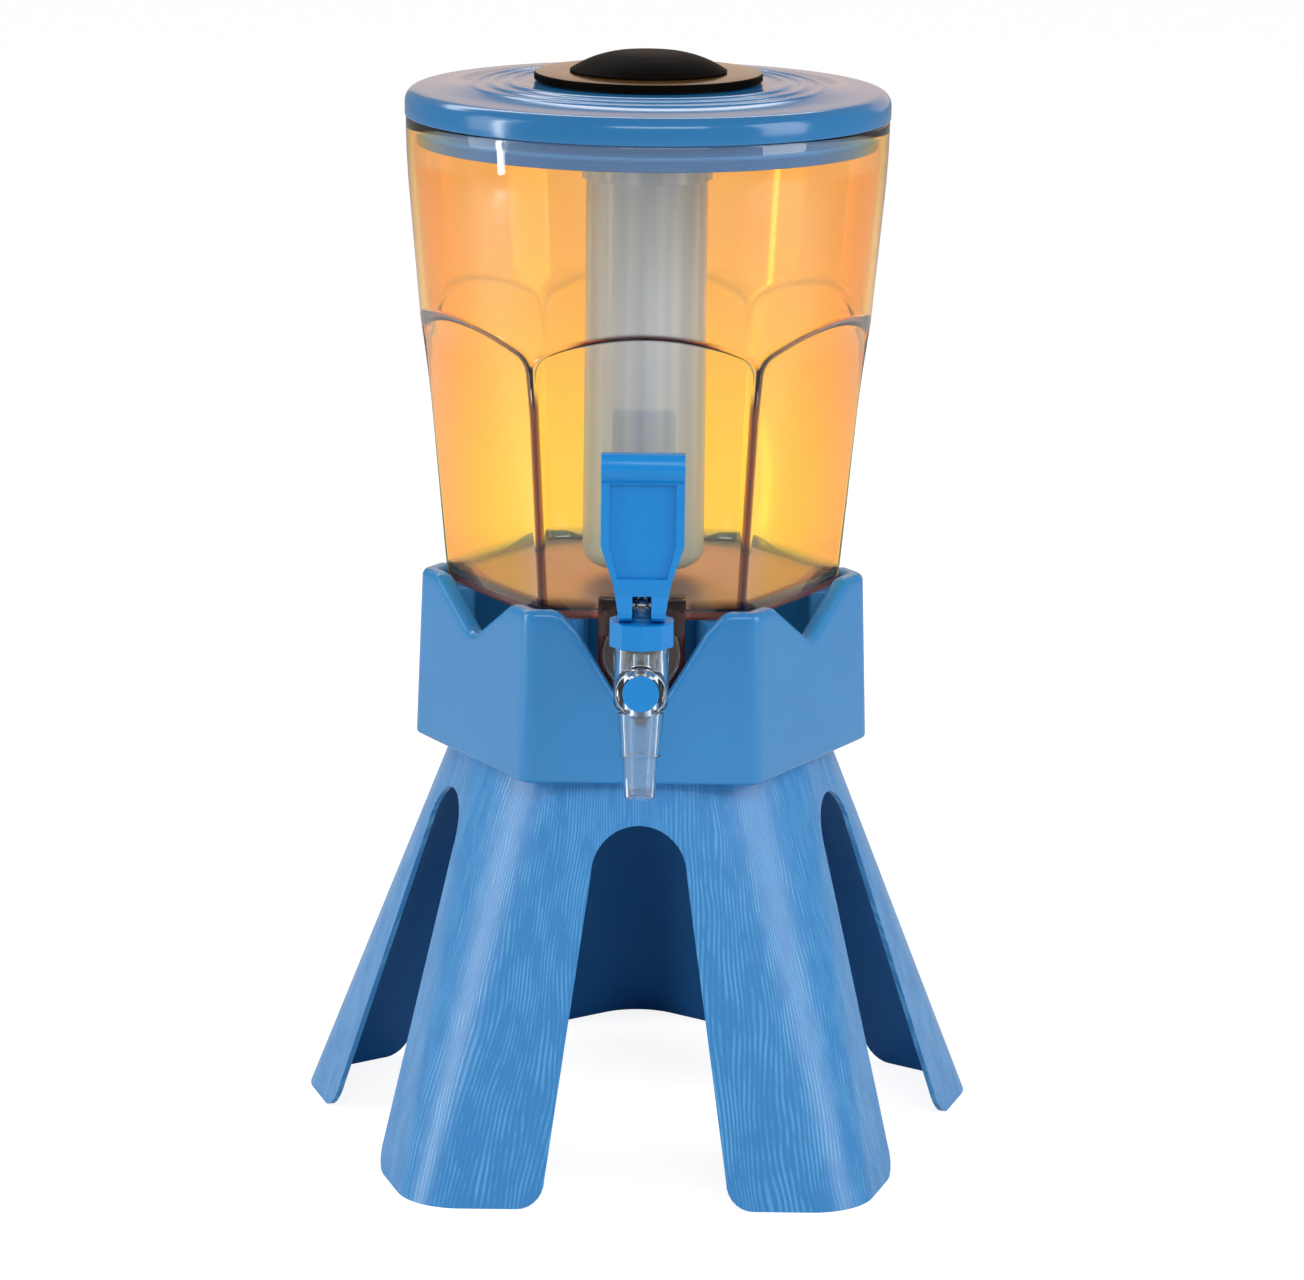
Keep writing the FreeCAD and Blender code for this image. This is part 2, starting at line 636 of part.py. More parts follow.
def tank_body():
    """A clear cone over six arched facets, with a floor, and a sump at the front that takes the tap."""
    body = new_body("tank_body", AXIS_Y, TANK_Z)
    cone_foot = S.arch_side - S.arch_corner * 2
    cone = new_sketch(
        body,
        "XZ",
        outline(
            (0, cone_foot),
            (facet_corner(cone_foot), cone_foot),
            (cone_radius(S.arch_side), S.arch_side),
            (S.tank_rim, S.tank_height),
            (0, S.tank_height),
        ),
    )
    revolve(body, cone)
    below = cone_foot - S.tank_floor
    arch = new_sketch(
        body,
        "XZ",
        outline(
            (-S.arch_outer_half, below),
            (S.arch_outer_half, below),
            (S.arch_outer_half, S.arch_side, S.arch_corner),
            (S.arch_inner_half, S.arch_spring, S.arch_bow),
            (-S.arch_inner_half, S.arch_spring, S.arch_corner),
            (-S.arch_outer_half, S.arch_side),
        ),
    )
    arch_cut = cut_feature(body, "Pocket", arch, Length=S.tank_rim * 1.2, Reversed=True)
    repeat_round(body, [arch_cut], FACES)

    crown = S.facet_shoulder + S.facet_crown
    low = new_sketch(body, "XY", polygon(S.facet_foot_corner, FACES, bow=S.facet_foot_bow))
    middle = new_sketch(
        body, "XY", polygon(S.facet_top_corner, FACES, bow=S.facet_top_bow), offset=S.facet_shoulder
    )
    high = new_sketch(
        body, "XY", polygon(S.facet_crown_radius, FACES, bow=S.facet_crown_radius), offset=crown
    )
    loft(body, "AdditiveLoft", low, middle, high)

    sump = new_sketch(
        body, "XY", rectangle(-S.sump_half, -S.sump_front, S.sump_half, -S.sump_back), offset=-S.sump_drop
    )
    add_feature(body, "Pad", sump, Length=S.sump_drop + S.tank_floor / 2)
    pad_start = S.sump_front - S.sump_wall
    pad_length = S.pad_front - pad_start
    pad_low = new_sketch(body, "XZ", circle(0, -S.inlet_drop, S.pad_round), offset=pad_start)
    add_feature(body, "Pad", pad_low, Length=pad_length)
    pad_high = new_sketch(
        body, "XZ", rectangle(-S.sump_half, -S.inlet_drop / 2, S.sump_half, S.pad_rise), offset=pad_start
    )
    add_feature(body, "Pad", pad_high, Length=pad_length)

    corner_wall = S.tank_wall / HEX_SIDE
    cavity_top = crown + S.facet_crown / 3
    top_radius = cone_radius(cavity_top, S.tank_wall)
    inner_low = new_sketch(
        body,
        "XY",
        polygon(facet_corner(S.tank_floor) - corner_wall, FACES, bow=S.facet_foot_bow - S.tank_wall),
        offset=S.tank_floor,
    )
    inner_middle = new_sketch(
        body,
        "XY",
        polygon(S.facet_top_corner - corner_wall, FACES, bow=S.facet_top_bow - S.tank_wall),
        offset=S.facet_shoulder,
    )
    inner_high = new_sketch(body, "XY", polygon(top_radius, FACES, bow=top_radius), offset=cavity_top)
    loft(body, "SubtractiveLoft", inner_low, inner_middle, inner_high)
    mouth = new_sketch(
        body,
        "XZ",
        outline(
            (0, cavity_top),
            (top_radius, cavity_top),
            (S.tank_rim - S.tank_wall, S.tank_height),
            (0, S.tank_height),
        ),
    )
    revolve(body, mouth, "Groove")

    well = new_sketch(
        body,
        "XY",
        rectangle(
            S.sump_wall - S.sump_half,
            S.sump_wall - S.sump_front,
            S.sump_half - S.sump_wall,
            -S.sump_wall - S.sump_back,
        ),
        offset=S.tank_floor,
    )
    cut_feature(body, "Pocket", well, Length=S.tank_floor + S.sump_drop - S.sump_wall)
    tap_hole = new_sketch(
        body, "XZ", circle(0, -S.inlet_drop, S.shank_radius + S.moving_gap), offset=pad_start - S.sump_wall
    )
    cut_feature(body, "Pocket", tap_hole, Length=pad_length + S.sump_wall * 2, Reversed=True)
    return body


# The tap. Its pieces are drawn about its upright axis, at the level of its inlet.

PAD_BACK = S.tap_reach - S.pad_front
FLANGE_BACK = PAD_BACK - S.gasket_thick
WALL_BACK = S.tap_reach - S.sump_front + S.sump_wall
NUT_CEILING = S.neck_rise + S.nut_height - S.nut_top
PIN_RISE = S.neck_rise + S.nut_height + S.pin_rise
PISTON_TOP = S.piston_rise + S.piston_thick


def tap_body():
    """The clear body: an upright chamber and spout, the inlet with its flange and shank, and a front boss."""
    body = new_body("tap_body", TAP_Y, INLET_Z)
    neck_top = S.neck_rise + S.neck_length
    seat_foot = -S.seat_drop - S.seat_thick
    barrel = new_sketch(
        body,
        "XZ",
        outline(
            (0, -S.spout_drop),
            (S.spout_tip, -S.spout_drop),
            (S.spout_nose, -S.spout_step_drop),
            (S.spout_step, -S.spout_step_drop),
            (S.spout_top, seat_foot),
            (S.chamber_radius, -S.seat_drop),
            (S.chamber_radius, S.neck_rise),
            (S.neck_radius, S.neck_rise),
            (S.neck_radius, neck_top),
            (0, neck_top),
        ),
    )
    revolve(body, barrel)
    inlet = new_sketch(body, "XZ", circle(0, 0, S.inlet_radius), offset=-FLANGE_BACK)
    add_feature(body, "Pad", inlet, Length=FLANGE_BACK)
    flange = new_sketch(body, "XZ", circle(0, 0, S.flange_radius), offset=-FLANGE_BACK)
    add_feature(body, "Pad", flange, Length=S.flange_thick)
    shank = new_sketch(body, "XZ", circle(0, 0, S.shank_radius), offset=-FLANGE_BACK - S.shank_length)
    add_feature(body, "Pad", shank, Length=S.shank_length)
    boss = new_sketch(body, "XZ", circle(0, -S.front_boss_drop, S.front_boss_radius))
    add_feature(body, "Pad", boss, Length=S.front_boss_reach)
    hollow = new_sketch(
        body,
        "XZ",
        outline(
            (0, -S.spout_drop),
            (S.spout_tip - S.spout_wall, -S.spout_drop),
            (S.spout_nose - S.spout_wall, -S.spout_step_drop),
            (S.spout_step - S.spout_wall, seat_foot),
            (S.seat_bore, seat_foot),
            (S.seat_bore, -S.seat_drop),
            (S.chamber_bore, -S.seat_drop),
            (S.chamber_bore, neck_top),
            (0, neck_top),
        ),
    )
    revolve(body, hollow, "Groove")
    bore = new_sketch(body, "XZ", circle(0, 0, S.inlet_bore))
    cut_feature(body, "Pocket", bore, Length=FLANGE_BACK + S.shank_length)
    socket = new_sketch(
        body,
        "XZ",
        circle(0, -S.front_boss_drop, S.front_plug_radius + S.fit_gap),
        offset=S.front_boss_reach,
    )
    cut_feature(body, "Pocket", socket, Length=S.front_plug_length - S.front_plug_proud + S.fit_gap)
    core = new_sketch(
        body, "XZ", circle(0, -S.front_boss_drop, S.inlet_bore), offset=S.front_boss_reach
    )
    cut_feature(body, "Pocket", core, Length=S.front_boss_reach)
    return body


def tap_front_plug():
    body = new_body("tap_front_plug", TAP_Y, INLET_Z - S.front_boss_drop)
    face = S.front_boss_reach + S.front_plug_proud
    disc = new_sketch(body, "XZ", circle(0, 0, S.front_plug_radius), offset=face)
    add_feature(body, "Pad", disc, Length=S.front_plug_length, Reversed=True)
    return body


def tap_gasket(name, back):
    body = new_body(name, TAP_Y, INLET_Z)
    inner = circle(0, 0, S.shank_radius + S.moving_gap)
    outer = circle(0, 0, S.flange_radius - S.gasket_edge)
    ring = new_sketch(body, "XZ", outer, inner, offset=-back)
    add_feature(body, "Pad", ring, Length=S.gasket_thick)
    return body


def tap_outer_gasket():
    return tap_gasket("tap_outer_gasket", PAD_BACK)


def tap_inner_gasket():
    return tap_gasket("tap_inner_gasket", WALL_BACK + S.gasket_thick)


def tap_lock_nut():
    """The hexagonal nut inside the sump that holds the tap to the tank."""
    body = new_body("tap_lock_nut", TAP_Y, INLET_Z)
    nut_back = WALL_BACK + S.gasket_thick + S.lock_nut_length
    hexagon = polygon(S.lock_nut_flat / HEX_SIDE, FACES)
    bore = circle(0, 0, S.shank_radius + S.fit_gap)
    nut = new_sketch(body, "XZ", hexagon, bore, offset=-nut_back)
    add_feature(body, "Pad", nut, Length=S.lock_nut_length)
    return body


def tap_cap_nut():
    """The faceted nut that closes the chamber and guides the stem."""
    body = new_body("tap_cap_nut", TAP_Y, INLET_Z + S.neck_rise)
    facets = 10
    corner = S.nut_flat / cosine(180 / facets)
    sides = new_sketch(body, "XY", polygon(corner, facets, -90.0))
    add_feature(body, "Pad", sides, Length=S.nut_height)
    ceiling = S.nut_height - S.nut_top
    bore = S.neck_radius + S.fit_gap
    guide = S.stem_radius + S.running_gap
    hollow = new_sketch(
        body,
        "XZ",
        outline((0, 0), (bore, 0), (bore, ceiling), (guide, ceiling), (guide, S.nut_height), (0, S.nut_height)),
    )
    revolve(body, hollow, "Groove")
    return body


def tap_stem():
    """The rod from the valve seal up to the lever's pin, with a grooved piston."""
    body = new_body("tap_stem", TAP_Y, INLET_Z)
    foot = S.seal_sole - S.seat_drop
    head = PIN_RISE + S.stem_head
    profile = new_sketch(
        body,
        "XZ",
        outline(
            (0, foot),
            (S.stem_radius, foot),
            (S.stem_radius, S.piston_rise),
            (S.piston_radius, S.piston_rise),
            (S.piston_radius, S.piston_rise + S.piston_land),
            (S.piston_groove, S.piston_rise + S.piston_land),
            (S.piston_groove, PISTON_TOP - S.piston_land),
            (S.piston_radius, PISTON_TOP - S.piston_land),
            (S.piston_radius, PISTON_TOP),
            (S.stem_radius, PISTON_TOP),
            (S.stem_radius, head - S.stem_round, S.stem_round),
            (S.stem_radius - S.stem_round, head),
            (0, head),
        ),
    )
    revolve(body, profile)
    cross = new_sketch(body, "YZ", circle(0, PIN_RISE, S.pin_radius + S.fit_gap))
    cut_feature(body, "Pocket", cross, Length=S.stem_radius * 3, SideType="Symmetric")
    return body


def stem_seal_ring():
    gap = S.fit_gap
    low = S.piston_rise + S.piston_land + gap
    high = PISTON_TOP - S.piston_land - gap
    return ring_body(
        "stem_seal_ring", TAP_Y, INLET_Z, S.piston_groove + gap, S.chamber_bore - S.running_gap, low, high
    )


def valve_seal():
    """The soft foot of the stem, flat on the valve seat."""
    body = new_body("valve_seal", TAP_Y, INLET_Z - S.seat_drop)
    socket = S.stem_radius + S.fit_gap
    profile = new_sketch(
        body,
        "XZ",
        outline(
            (0, 0),
            (S.seal_radius, 0),
            (S.seal_radius, S.seal_height / 2),
            (socket + S.spout_wall, S.seal_height),
            (socket, S.seal_height),
            (socket, S.seal_sole),
            (0, S.seal_sole),
        ),
    )
    revolve(body, profile)
    return body


def lever_pin():
    body = new_body("lever_pin", TAP_Y, PIN_Z)
    section = new_sketch(body, "YZ", circle(0, 0, S.pin_radius))
    add_feature(body, "Pad", section, Length=S.pin_half * 2, SideType="Symmetric")
    return body


def return_spring():
    """The coil between the piston and the cap nut."""
    start = PISTON_TOP + S.spring_wire + S.fit_gap
    body = new_body("return_spring", TAP_Y, INLET_Z + start)
    wire = new_sketch(body, "XZ", circle(S.spring_coil, 0, S.spring_wire))
    coil = body.newObject("PartDesign::AdditiveHelix", "return_spring_coil")
    coil.Profile = wire
    coil.ReferenceAxis = (wire, ["V_Axis"])
    coil.Mode = "height-turns-angle"
    coil.setExpression("Height", (NUT_CEILING - S.spring_wire - S.fit_gap - start).formula)
    coil.setExpression("Turns", S.spring_turns.formula)
    DOC.recompute()
    return body


def tap_lever():
    """The paddle. Its foot is a cam that lifts the stem evenly as the paddle is pulled forward."""
    body = new_body("tap_lever", TAP_Y, PIN_Z)
    sole = S.pin_rise - S.moving_gap
    full = sole + S.cam_reach * math.radians(45)
    toe_y = (full + S.cam_reach) * -cosine(45)
    toe_z = (full - S.cam_reach) * -cosine(45)
    face = -S.lever_front
    back = S.lever_thick - S.lever_front
    roll_foot = S.lever_top - S.lever_roll
    proud = S.lever_roll_proud
    roll_bend = (S.lever_roll * S.lever_roll / 4 + proud * proud) / (proud * 2)
    side = new_sketch(
        body,
        "YZ",
        outline(
            (S.lever_heel, -sole),
            (S.lever_heel, sole),
            (back, S.lever_waist_rise + sole),
            (back, S.lever_top),
            (face, S.lever_top, roll_bend),
            (face, roll_foot),
            (face, S.slot_rise),
            (toe_y, toe_z + S.toe_rise),
            (toe_y, toe_z, S.cam_round),
            (-S.cam_reach, -sole),
        ),
    )
    add_feature(body, "Pad", side, Length=S.lever_half * 2, SideType="Symmetric")
    beyond = S.lever_half * 1.2
    under = S.pin_rise * -2
    foot_rise = -S.moving_gap - S.pin_rise / 2

    def taper(hand):
        return outline(
            (S.lever_half * hand, S.lever_shoulder),
            (S.lever_waist * hand, S.lever_waist_rise),
            (S.lever_foot * hand, foot_rise),
            (S.lever_foot * hand, under),
            (beyond * hand, under),
            (beyond * hand, S.lever_shoulder),
        )

    tapers = new_sketch(body, "XZ", taper(1.0), taper(-1.0))
    cut_feature(body, "Pocket", tapers, Length=S.lever_top * 2, SideType="Symmetric")
    window = new_sketch(
        body, "XZ", rectangle(-S.slot_half, under, S.slot_half, S.slot_rise), offset=-S.slot_back
    )
    cut_feature(body, "Pocket", window, Length=S.lever_top, Reversed=True)
    rim = S.panel_rim
    panel_half = S.lever_half - rim
    panel_low = S.lever_waist - rim / 2
    panel_foot = S.lever_waist_rise + rim / 2
    panel_top = roll_foot - rim / 5
    panel = new_sketch(
        body,
        "XZ",
        outline(
            (-panel_low, panel_foot),
            (panel_low, panel_foot),
            (panel_half, S.lever_shoulder),
            (panel_half, panel_top),
            (-panel_half, panel_top),
            (-panel_half, S.lever_shoulder),
        ),
        offset=S.lever_front,
    )
    cut_feature(body, "Pocket", panel, Length=S.panel_deep)
    pin_hole = new_sketch(body, "YZ", circle(0, 0, S.pin_radius + S.running_gap))
    cut_feature(body, "Pocket", pin_hole, Length=S.lever_half * 2, SideType="Symmetric")
    return body


# The lid and what hangs in it.


def lid_plug_radius(drop):
    """Outer radius of the lid's plug at a level below the tank's rim."""
    return S.tank_rim - S.tank_wall - S.plug_gap - CONE_SLOPE * drop


def lid_ring_place():
    """Centre of the lid's seal ring: radius, and level from the tank's rim."""
    level = S.ring_rise - S.plug_depth
    radius = S.tank_rim - S.tank_wall + CONE_SLOPE * level - S.moving_gap - S.ring_radius
    return radius, level


def lid_shell():
    """The domed lid with its ripples, its centre hole and the plug that centres it in the tank."""
    body = new_body("lid_shell", AXIS_Y, RIM_Z)
    edge_top = S.lid_side + S.lid_round
    dome_start = S.lid_radius - S.lid_round
    fall = (S.lid_height - edge_top) / (dome_start - S.lid_land)

    def dome_level(radius):
        return S.lid_height - fall * (radius - S.lid_land)

    ripples = []
    for number in (2, 1, 0):
        middle = S.ripple_first + S.ripple_step * number
        outer = middle + S.ripple_half
        inner = middle - S.ripple_half
        ripples.append((outer, dome_level(outer), S.ripple_bow))
        ripples.append((inner, dome_level(inner)))
    inner_radius = lid_plug_radius(S.plug_depth) - S.plug_wall
    profile = new_sketch(
        body,
        "XZ",
        outline(
            (S.lid_radius, 0),
            (S.lid_radius, S.lid_side, S.lid_round),
            (dome_start, edge_top),
            *ripples,
            (S.lid_land, S.lid_height),
            (S.lid_hole, S.lid_height),
            (S.lid_hole, S.lid_height - S.lid_thick),
            (S.lid_land, S.lid_height - S.lid_thick),
            (inner_radius, edge_top - S.lid_thick),
            (inner_radius, -S.plug_depth),
            (lid_plug_radius(S.plug_depth), -S.plug_depth),
            (lid_plug_radius(0.0), 0),
        ),
    )
    revolve(body, profile)
    radius, level = lid_ring_place()
    half = S.ring_radius + S.fit_gap
    groove = new_sketch(body, "XZ", rectangle(radius - half, level - half, S.lid_radius, level + half))
    revolve(body, groove, "Groove")
    return body


def lid_seal_ring():
    body = new_body("lid_seal_ring", AXIS_Y, RIM_Z)
    radius, level = lid_ring_place()
    revolve(body, new_sketch(body, "XZ", circle(radius, level, S.ring_radius)))
    return body


def ice_cap():
    """The black disc on the lid, with the neck that the ice tube screws into and a mouth for the fill plug."""
    body = new_body("ice_cap", AXIS_Y, CAP_Z)
    neck_foot = -S.cap_gasket_thick - S.cap_neck_length
    neck_bore = S.tube_thread + S.running_gap
    web = -S.cap_edge
    profile = new_sketch(
        body,
        "XZ",
        outline(
            (neck_bore, neck_foot),
            (S.cap_neck, neck_foot),
            (S.cap_neck, 0),
            (S.cap_radius, 0),
            (S.cap_radius, S.cap_thick - S.cap_edge, S.cap_edge),
            (S.cap_radius - S.cap_edge, S.cap_thick),
            (S.cap_mouth, S.cap_thick),
            (S.cap_mouth, web),
            (neck_bore, web),
        ),
    )
    revolve(body, profile)
    return body


def ice_cap_gasket():
    inner = S.lid_hole + S.cap_edge
    return ring_body(
        "ice_cap_gasket", AXIS_Y, LID_TOP_Z, inner, S.cap_gasket_radius, 0.0, S.cap_gasket_thick
    )


def plug_ring_place():
    """Centre of the fill plug's seal ring: radius, and level from the cap's top."""
    return S.cap_mouth - S.moving_gap - S.plug_ring_section, (S.cap_thick + S.cap_edge) / -2


def fill_plug():
    """The domed plug that closes the ice tube's mouth."""
    body = new_body("fill_plug", AXIS_Y, CAP_TOP_Z)
    bore = S.plug_stem - S.plug_stem_wall
    ceiling = S.dome_height - S.plug_stem_wall
    profile = new_sketch(
        body,
        "XZ",
        outline(
            (0, ceiling),
            (bore, ceiling - S.dome_edge),
            (bore, -S.plug_stem_length),
            (S.plug_stem, -S.plug_stem_length),
            (S.plug_stem, 0),
            (S.dome_radius, 0),
            (S.dome_radius, S.dome_edge, S.dome_bow),
            (S.dome_top, S.dome_height),
            (0, S.dome_height),
        ),
    )
    revolve(body, profile)
    radius, level = plug_ring_place()
    half = S.plug_ring_section + S.fit_gap
    groove = new_sketch(body, "XZ", rectangle(radius - half, level - half, S.cap_mouth, level + half))
    revolve(body, groove, "Groove")
    return body


def fill_plug_ring():
    body = new_body("fill_plug_ring", AXIS_Y, CAP_TOP_Z)
    radius, level = plug_ring_place()
    revolve(body, new_sketch(body, "XZ", circle(radius, level, S.plug_ring_section)))
    return body


def ice_tube():
    """The round-footed tube that holds ice, with a collar under its threaded neck."""
    body = new_body("ice_tube", AXIS_Y, TUBE_COLLAR_Z)
    foot = -S.tube_length
    turn = foot + S.tube_round
    bore = S.tube_radius - S.tube_wall
    neck_top = S.tube_collar_height + S.tube_thread_length
    profile = new_sketch(
        body,
        "XZ",
        outline(
            (0, foot),
            (S.tube_radius - S.tube_round, foot, S.tube_round),
            (S.tube_radius, turn),
            (S.tube_radius, 0),
            (S.tube_collar, 0),
            (S.tube_collar, S.tube_collar_height),
            (S.tube_thread, S.tube_collar_height),
            (S.tube_thread, neck_top),
            (bore, neck_top),
            (bore, turn, S.tube_wall - S.tube_round),
            (S.tube_radius - S.tube_round, foot + S.tube_wall),
            (0, foot + S.tube_wall),
        ),
    )
    revolve(body, profile)
    return body


def ice_tube_seal():
    level = TUBE_COLLAR_Z + S.tube_collar_height
    inner = S.tube_thread + S.fit_gap
    outer = S.cap_neck - S.moving_gap
    return ring_body("ice_tube_seal", AXIS_Y, level, inner, outer, 0.0, S.tube_seal_thick)


PIECES = [
    leg_skirt,
    crown_collar,
    collar_screws,
    tank_body,
    tap_body,
    tap_front_plug,
    tap_outer_gasket,
    tap_inner_gasket,
    tap_lock_nut,
    tap_cap_nut,
    return_spring,
    tap_stem,
    stem_seal_ring,
    valve_seal,
    lever_pin,
    tap_lever,
    lid_shell,
    lid_seal_ring,
    ice_cap,
    ice_cap_gasket,
    fill_plug,
    fill_plug_ring,
    ice_tube,
    ice_tube_seal,
]


def check_and_write():
    """Stop on any failed feature, then write one STEP file for each piece."""
    pieces = [make() for make in PIECES]
    DOC.recompute()
    for thing in DOC.Objects:
        bad = [state for state in thing.State if state in ("Invalid", "Error")]
        if bad:
            raise ValueError(f"{thing.Name} is {bad}")
    for piece in pieces:
        if piece.Shape.isNull() or not piece.Shape.isValid() or piece.Shape.Volume <= 0:
            raise ValueError(f"{piece.Label} has no valid shape")
    os.makedirs("parts", exist_ok=True)
    for piece in pieces:
        piece.Shape.exportStep(f"parts/{piece.Label}.step")
        solids = len(piece.Shape.Solids)
        print(f"{piece.Label}: {solids} solid(s), {piece.Shape.Volume / 1000:.2f} cm3")


check_and_write()
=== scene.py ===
import math

import bmesh
import bpy
import numpy as np
from mathutils import Matrix, Vector


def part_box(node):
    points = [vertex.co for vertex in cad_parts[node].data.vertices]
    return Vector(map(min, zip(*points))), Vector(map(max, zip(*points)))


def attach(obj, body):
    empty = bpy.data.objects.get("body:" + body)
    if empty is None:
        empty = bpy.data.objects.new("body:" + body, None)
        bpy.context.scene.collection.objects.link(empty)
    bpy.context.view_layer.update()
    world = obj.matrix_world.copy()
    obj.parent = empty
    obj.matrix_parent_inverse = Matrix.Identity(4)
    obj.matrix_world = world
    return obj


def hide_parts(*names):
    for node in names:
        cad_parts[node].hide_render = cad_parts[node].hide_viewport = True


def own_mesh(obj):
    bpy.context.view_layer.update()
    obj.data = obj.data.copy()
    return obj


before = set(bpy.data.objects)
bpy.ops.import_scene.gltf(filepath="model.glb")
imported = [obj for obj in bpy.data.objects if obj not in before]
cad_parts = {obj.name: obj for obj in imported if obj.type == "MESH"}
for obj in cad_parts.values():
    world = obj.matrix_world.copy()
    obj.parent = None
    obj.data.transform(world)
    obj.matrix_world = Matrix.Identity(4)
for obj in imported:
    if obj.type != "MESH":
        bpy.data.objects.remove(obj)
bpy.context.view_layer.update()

# The pieces are drawn in millimetres about the tower's own upright axis, with the table at 0 and the tap
# towards -Y. place() turns that into the row's metres.
MM = 0.001
collar_low, collar_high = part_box("crown_collar")
AXIS_Y = (collar_low.y + collar_high.y) / 2

# Levels above the table.
SKIRT_HEIGHT = 147.0
INLET_Z = 194.6
TANK_Z = 205.0
TUBE_Z = 354.9
RIM_Z = 377.5
CAP_Z = 390.3
CAP_TOP_Z = 393.1

# The tap's upright axis, counted from the tower's.
TAP_Y = -90.0


def place(x, y, z):
    """A place in the row's metres."""
    return x * MM, y * MM + AXIS_Y, z * MM


def between(start, end, share):
    """The value at a share of the way from start to end."""
    return start + (end - start) * share


def ease(share):
    """A smooth step from 0 to 1."""
    share = min(max(share, 0.0), 1.0)
    return share * share * (3 - 2 * share)


# Materials.


def linear(code):
    """An sRGB hex colour as linear red, green, blue and alpha."""
    values = [int(code[i : i + 2], 16) / 255 for i in (1, 3, 5)]
    return tuple(v / 12.92 if v <= 0.04045 else ((v + 0.055) / 1.055) ** 2.4 for v in values) + (1.0,)


def add(tree, kind, inputs=None, **settings):
    """Add a node, with its settings, and its inputs as plain values or as links from other nodes."""
    made = tree.nodes.new(f"ShaderNode{kind}")
    for name, value in settings.items():
        setattr(made, name, value)
    for key, value in (inputs or {}).items():
        if isinstance(value, bpy.types.NodeSocket):
            tree.links.new(value, made.inputs[key])
        else:
            made.inputs[key].default_value = value
    return made


def new_material(name):
    """An empty material and its tree."""
    material = bpy.data.materials.new(name)
    material.use_nodes = True
    material.node_tree.nodes.clear()
    return material, material.node_tree


def per_mm(size):
    """The texture scale at which one feature of a noise is about this many millimetres."""
    return 1 / (size * MM)


def polished_abs(name, colour, shade, roughness=0.22, haze=0.06, gloss=0.5):
    """Injection-moulded ABS from a polished tool: an even colour and a clean gloss, a little hazier in
    broad patches where the melt cooled unevenly, and the faintest waviness in its reflections."""
    material, tree = new_material(name)
    where = add(tree, "TexCoord")
    patches = add(tree, "TexNoise", {"Vector": where.outputs["Object"], "Scale": per_mm(38), "Detail": 2.0})
    tint = add(
        tree,
        "MixRGB",
        {"Fac": patches.outputs["Fac"], "Color1": linear(colour), "Color2": linear(shade)},
    )
    rough = add(
        tree,
        "MapRange",
        {"Value": patches.outputs["Fac"], "To Min": roughness - haze / 2, "To Max": roughness + haze},
    )
    waviness = add(tree, "TexNoise", {"Vector": where.outputs["Object"], "Scale": per_mm(9), "Detail": 1.0})
    bump = add(
        tree,
        "Bump",
        {"Strength": 0.05, "Distance": 0.3 * MM, "Height": waviness.outputs["Fac"]},
    )
    shader = add(
        tree,
        "BsdfPrincipled",
        {
            "Base Color": tint.outputs[0],
            "Roughness": rough.outputs["Result"],
            "IOR": 1.53,
            "Specular IOR Level": gloss,
            "Normal": bump.outputs["Normal"],
        },
    )
    add(tree, "OutputMaterial", {"Surface": shader.outputs[0]})
    return material


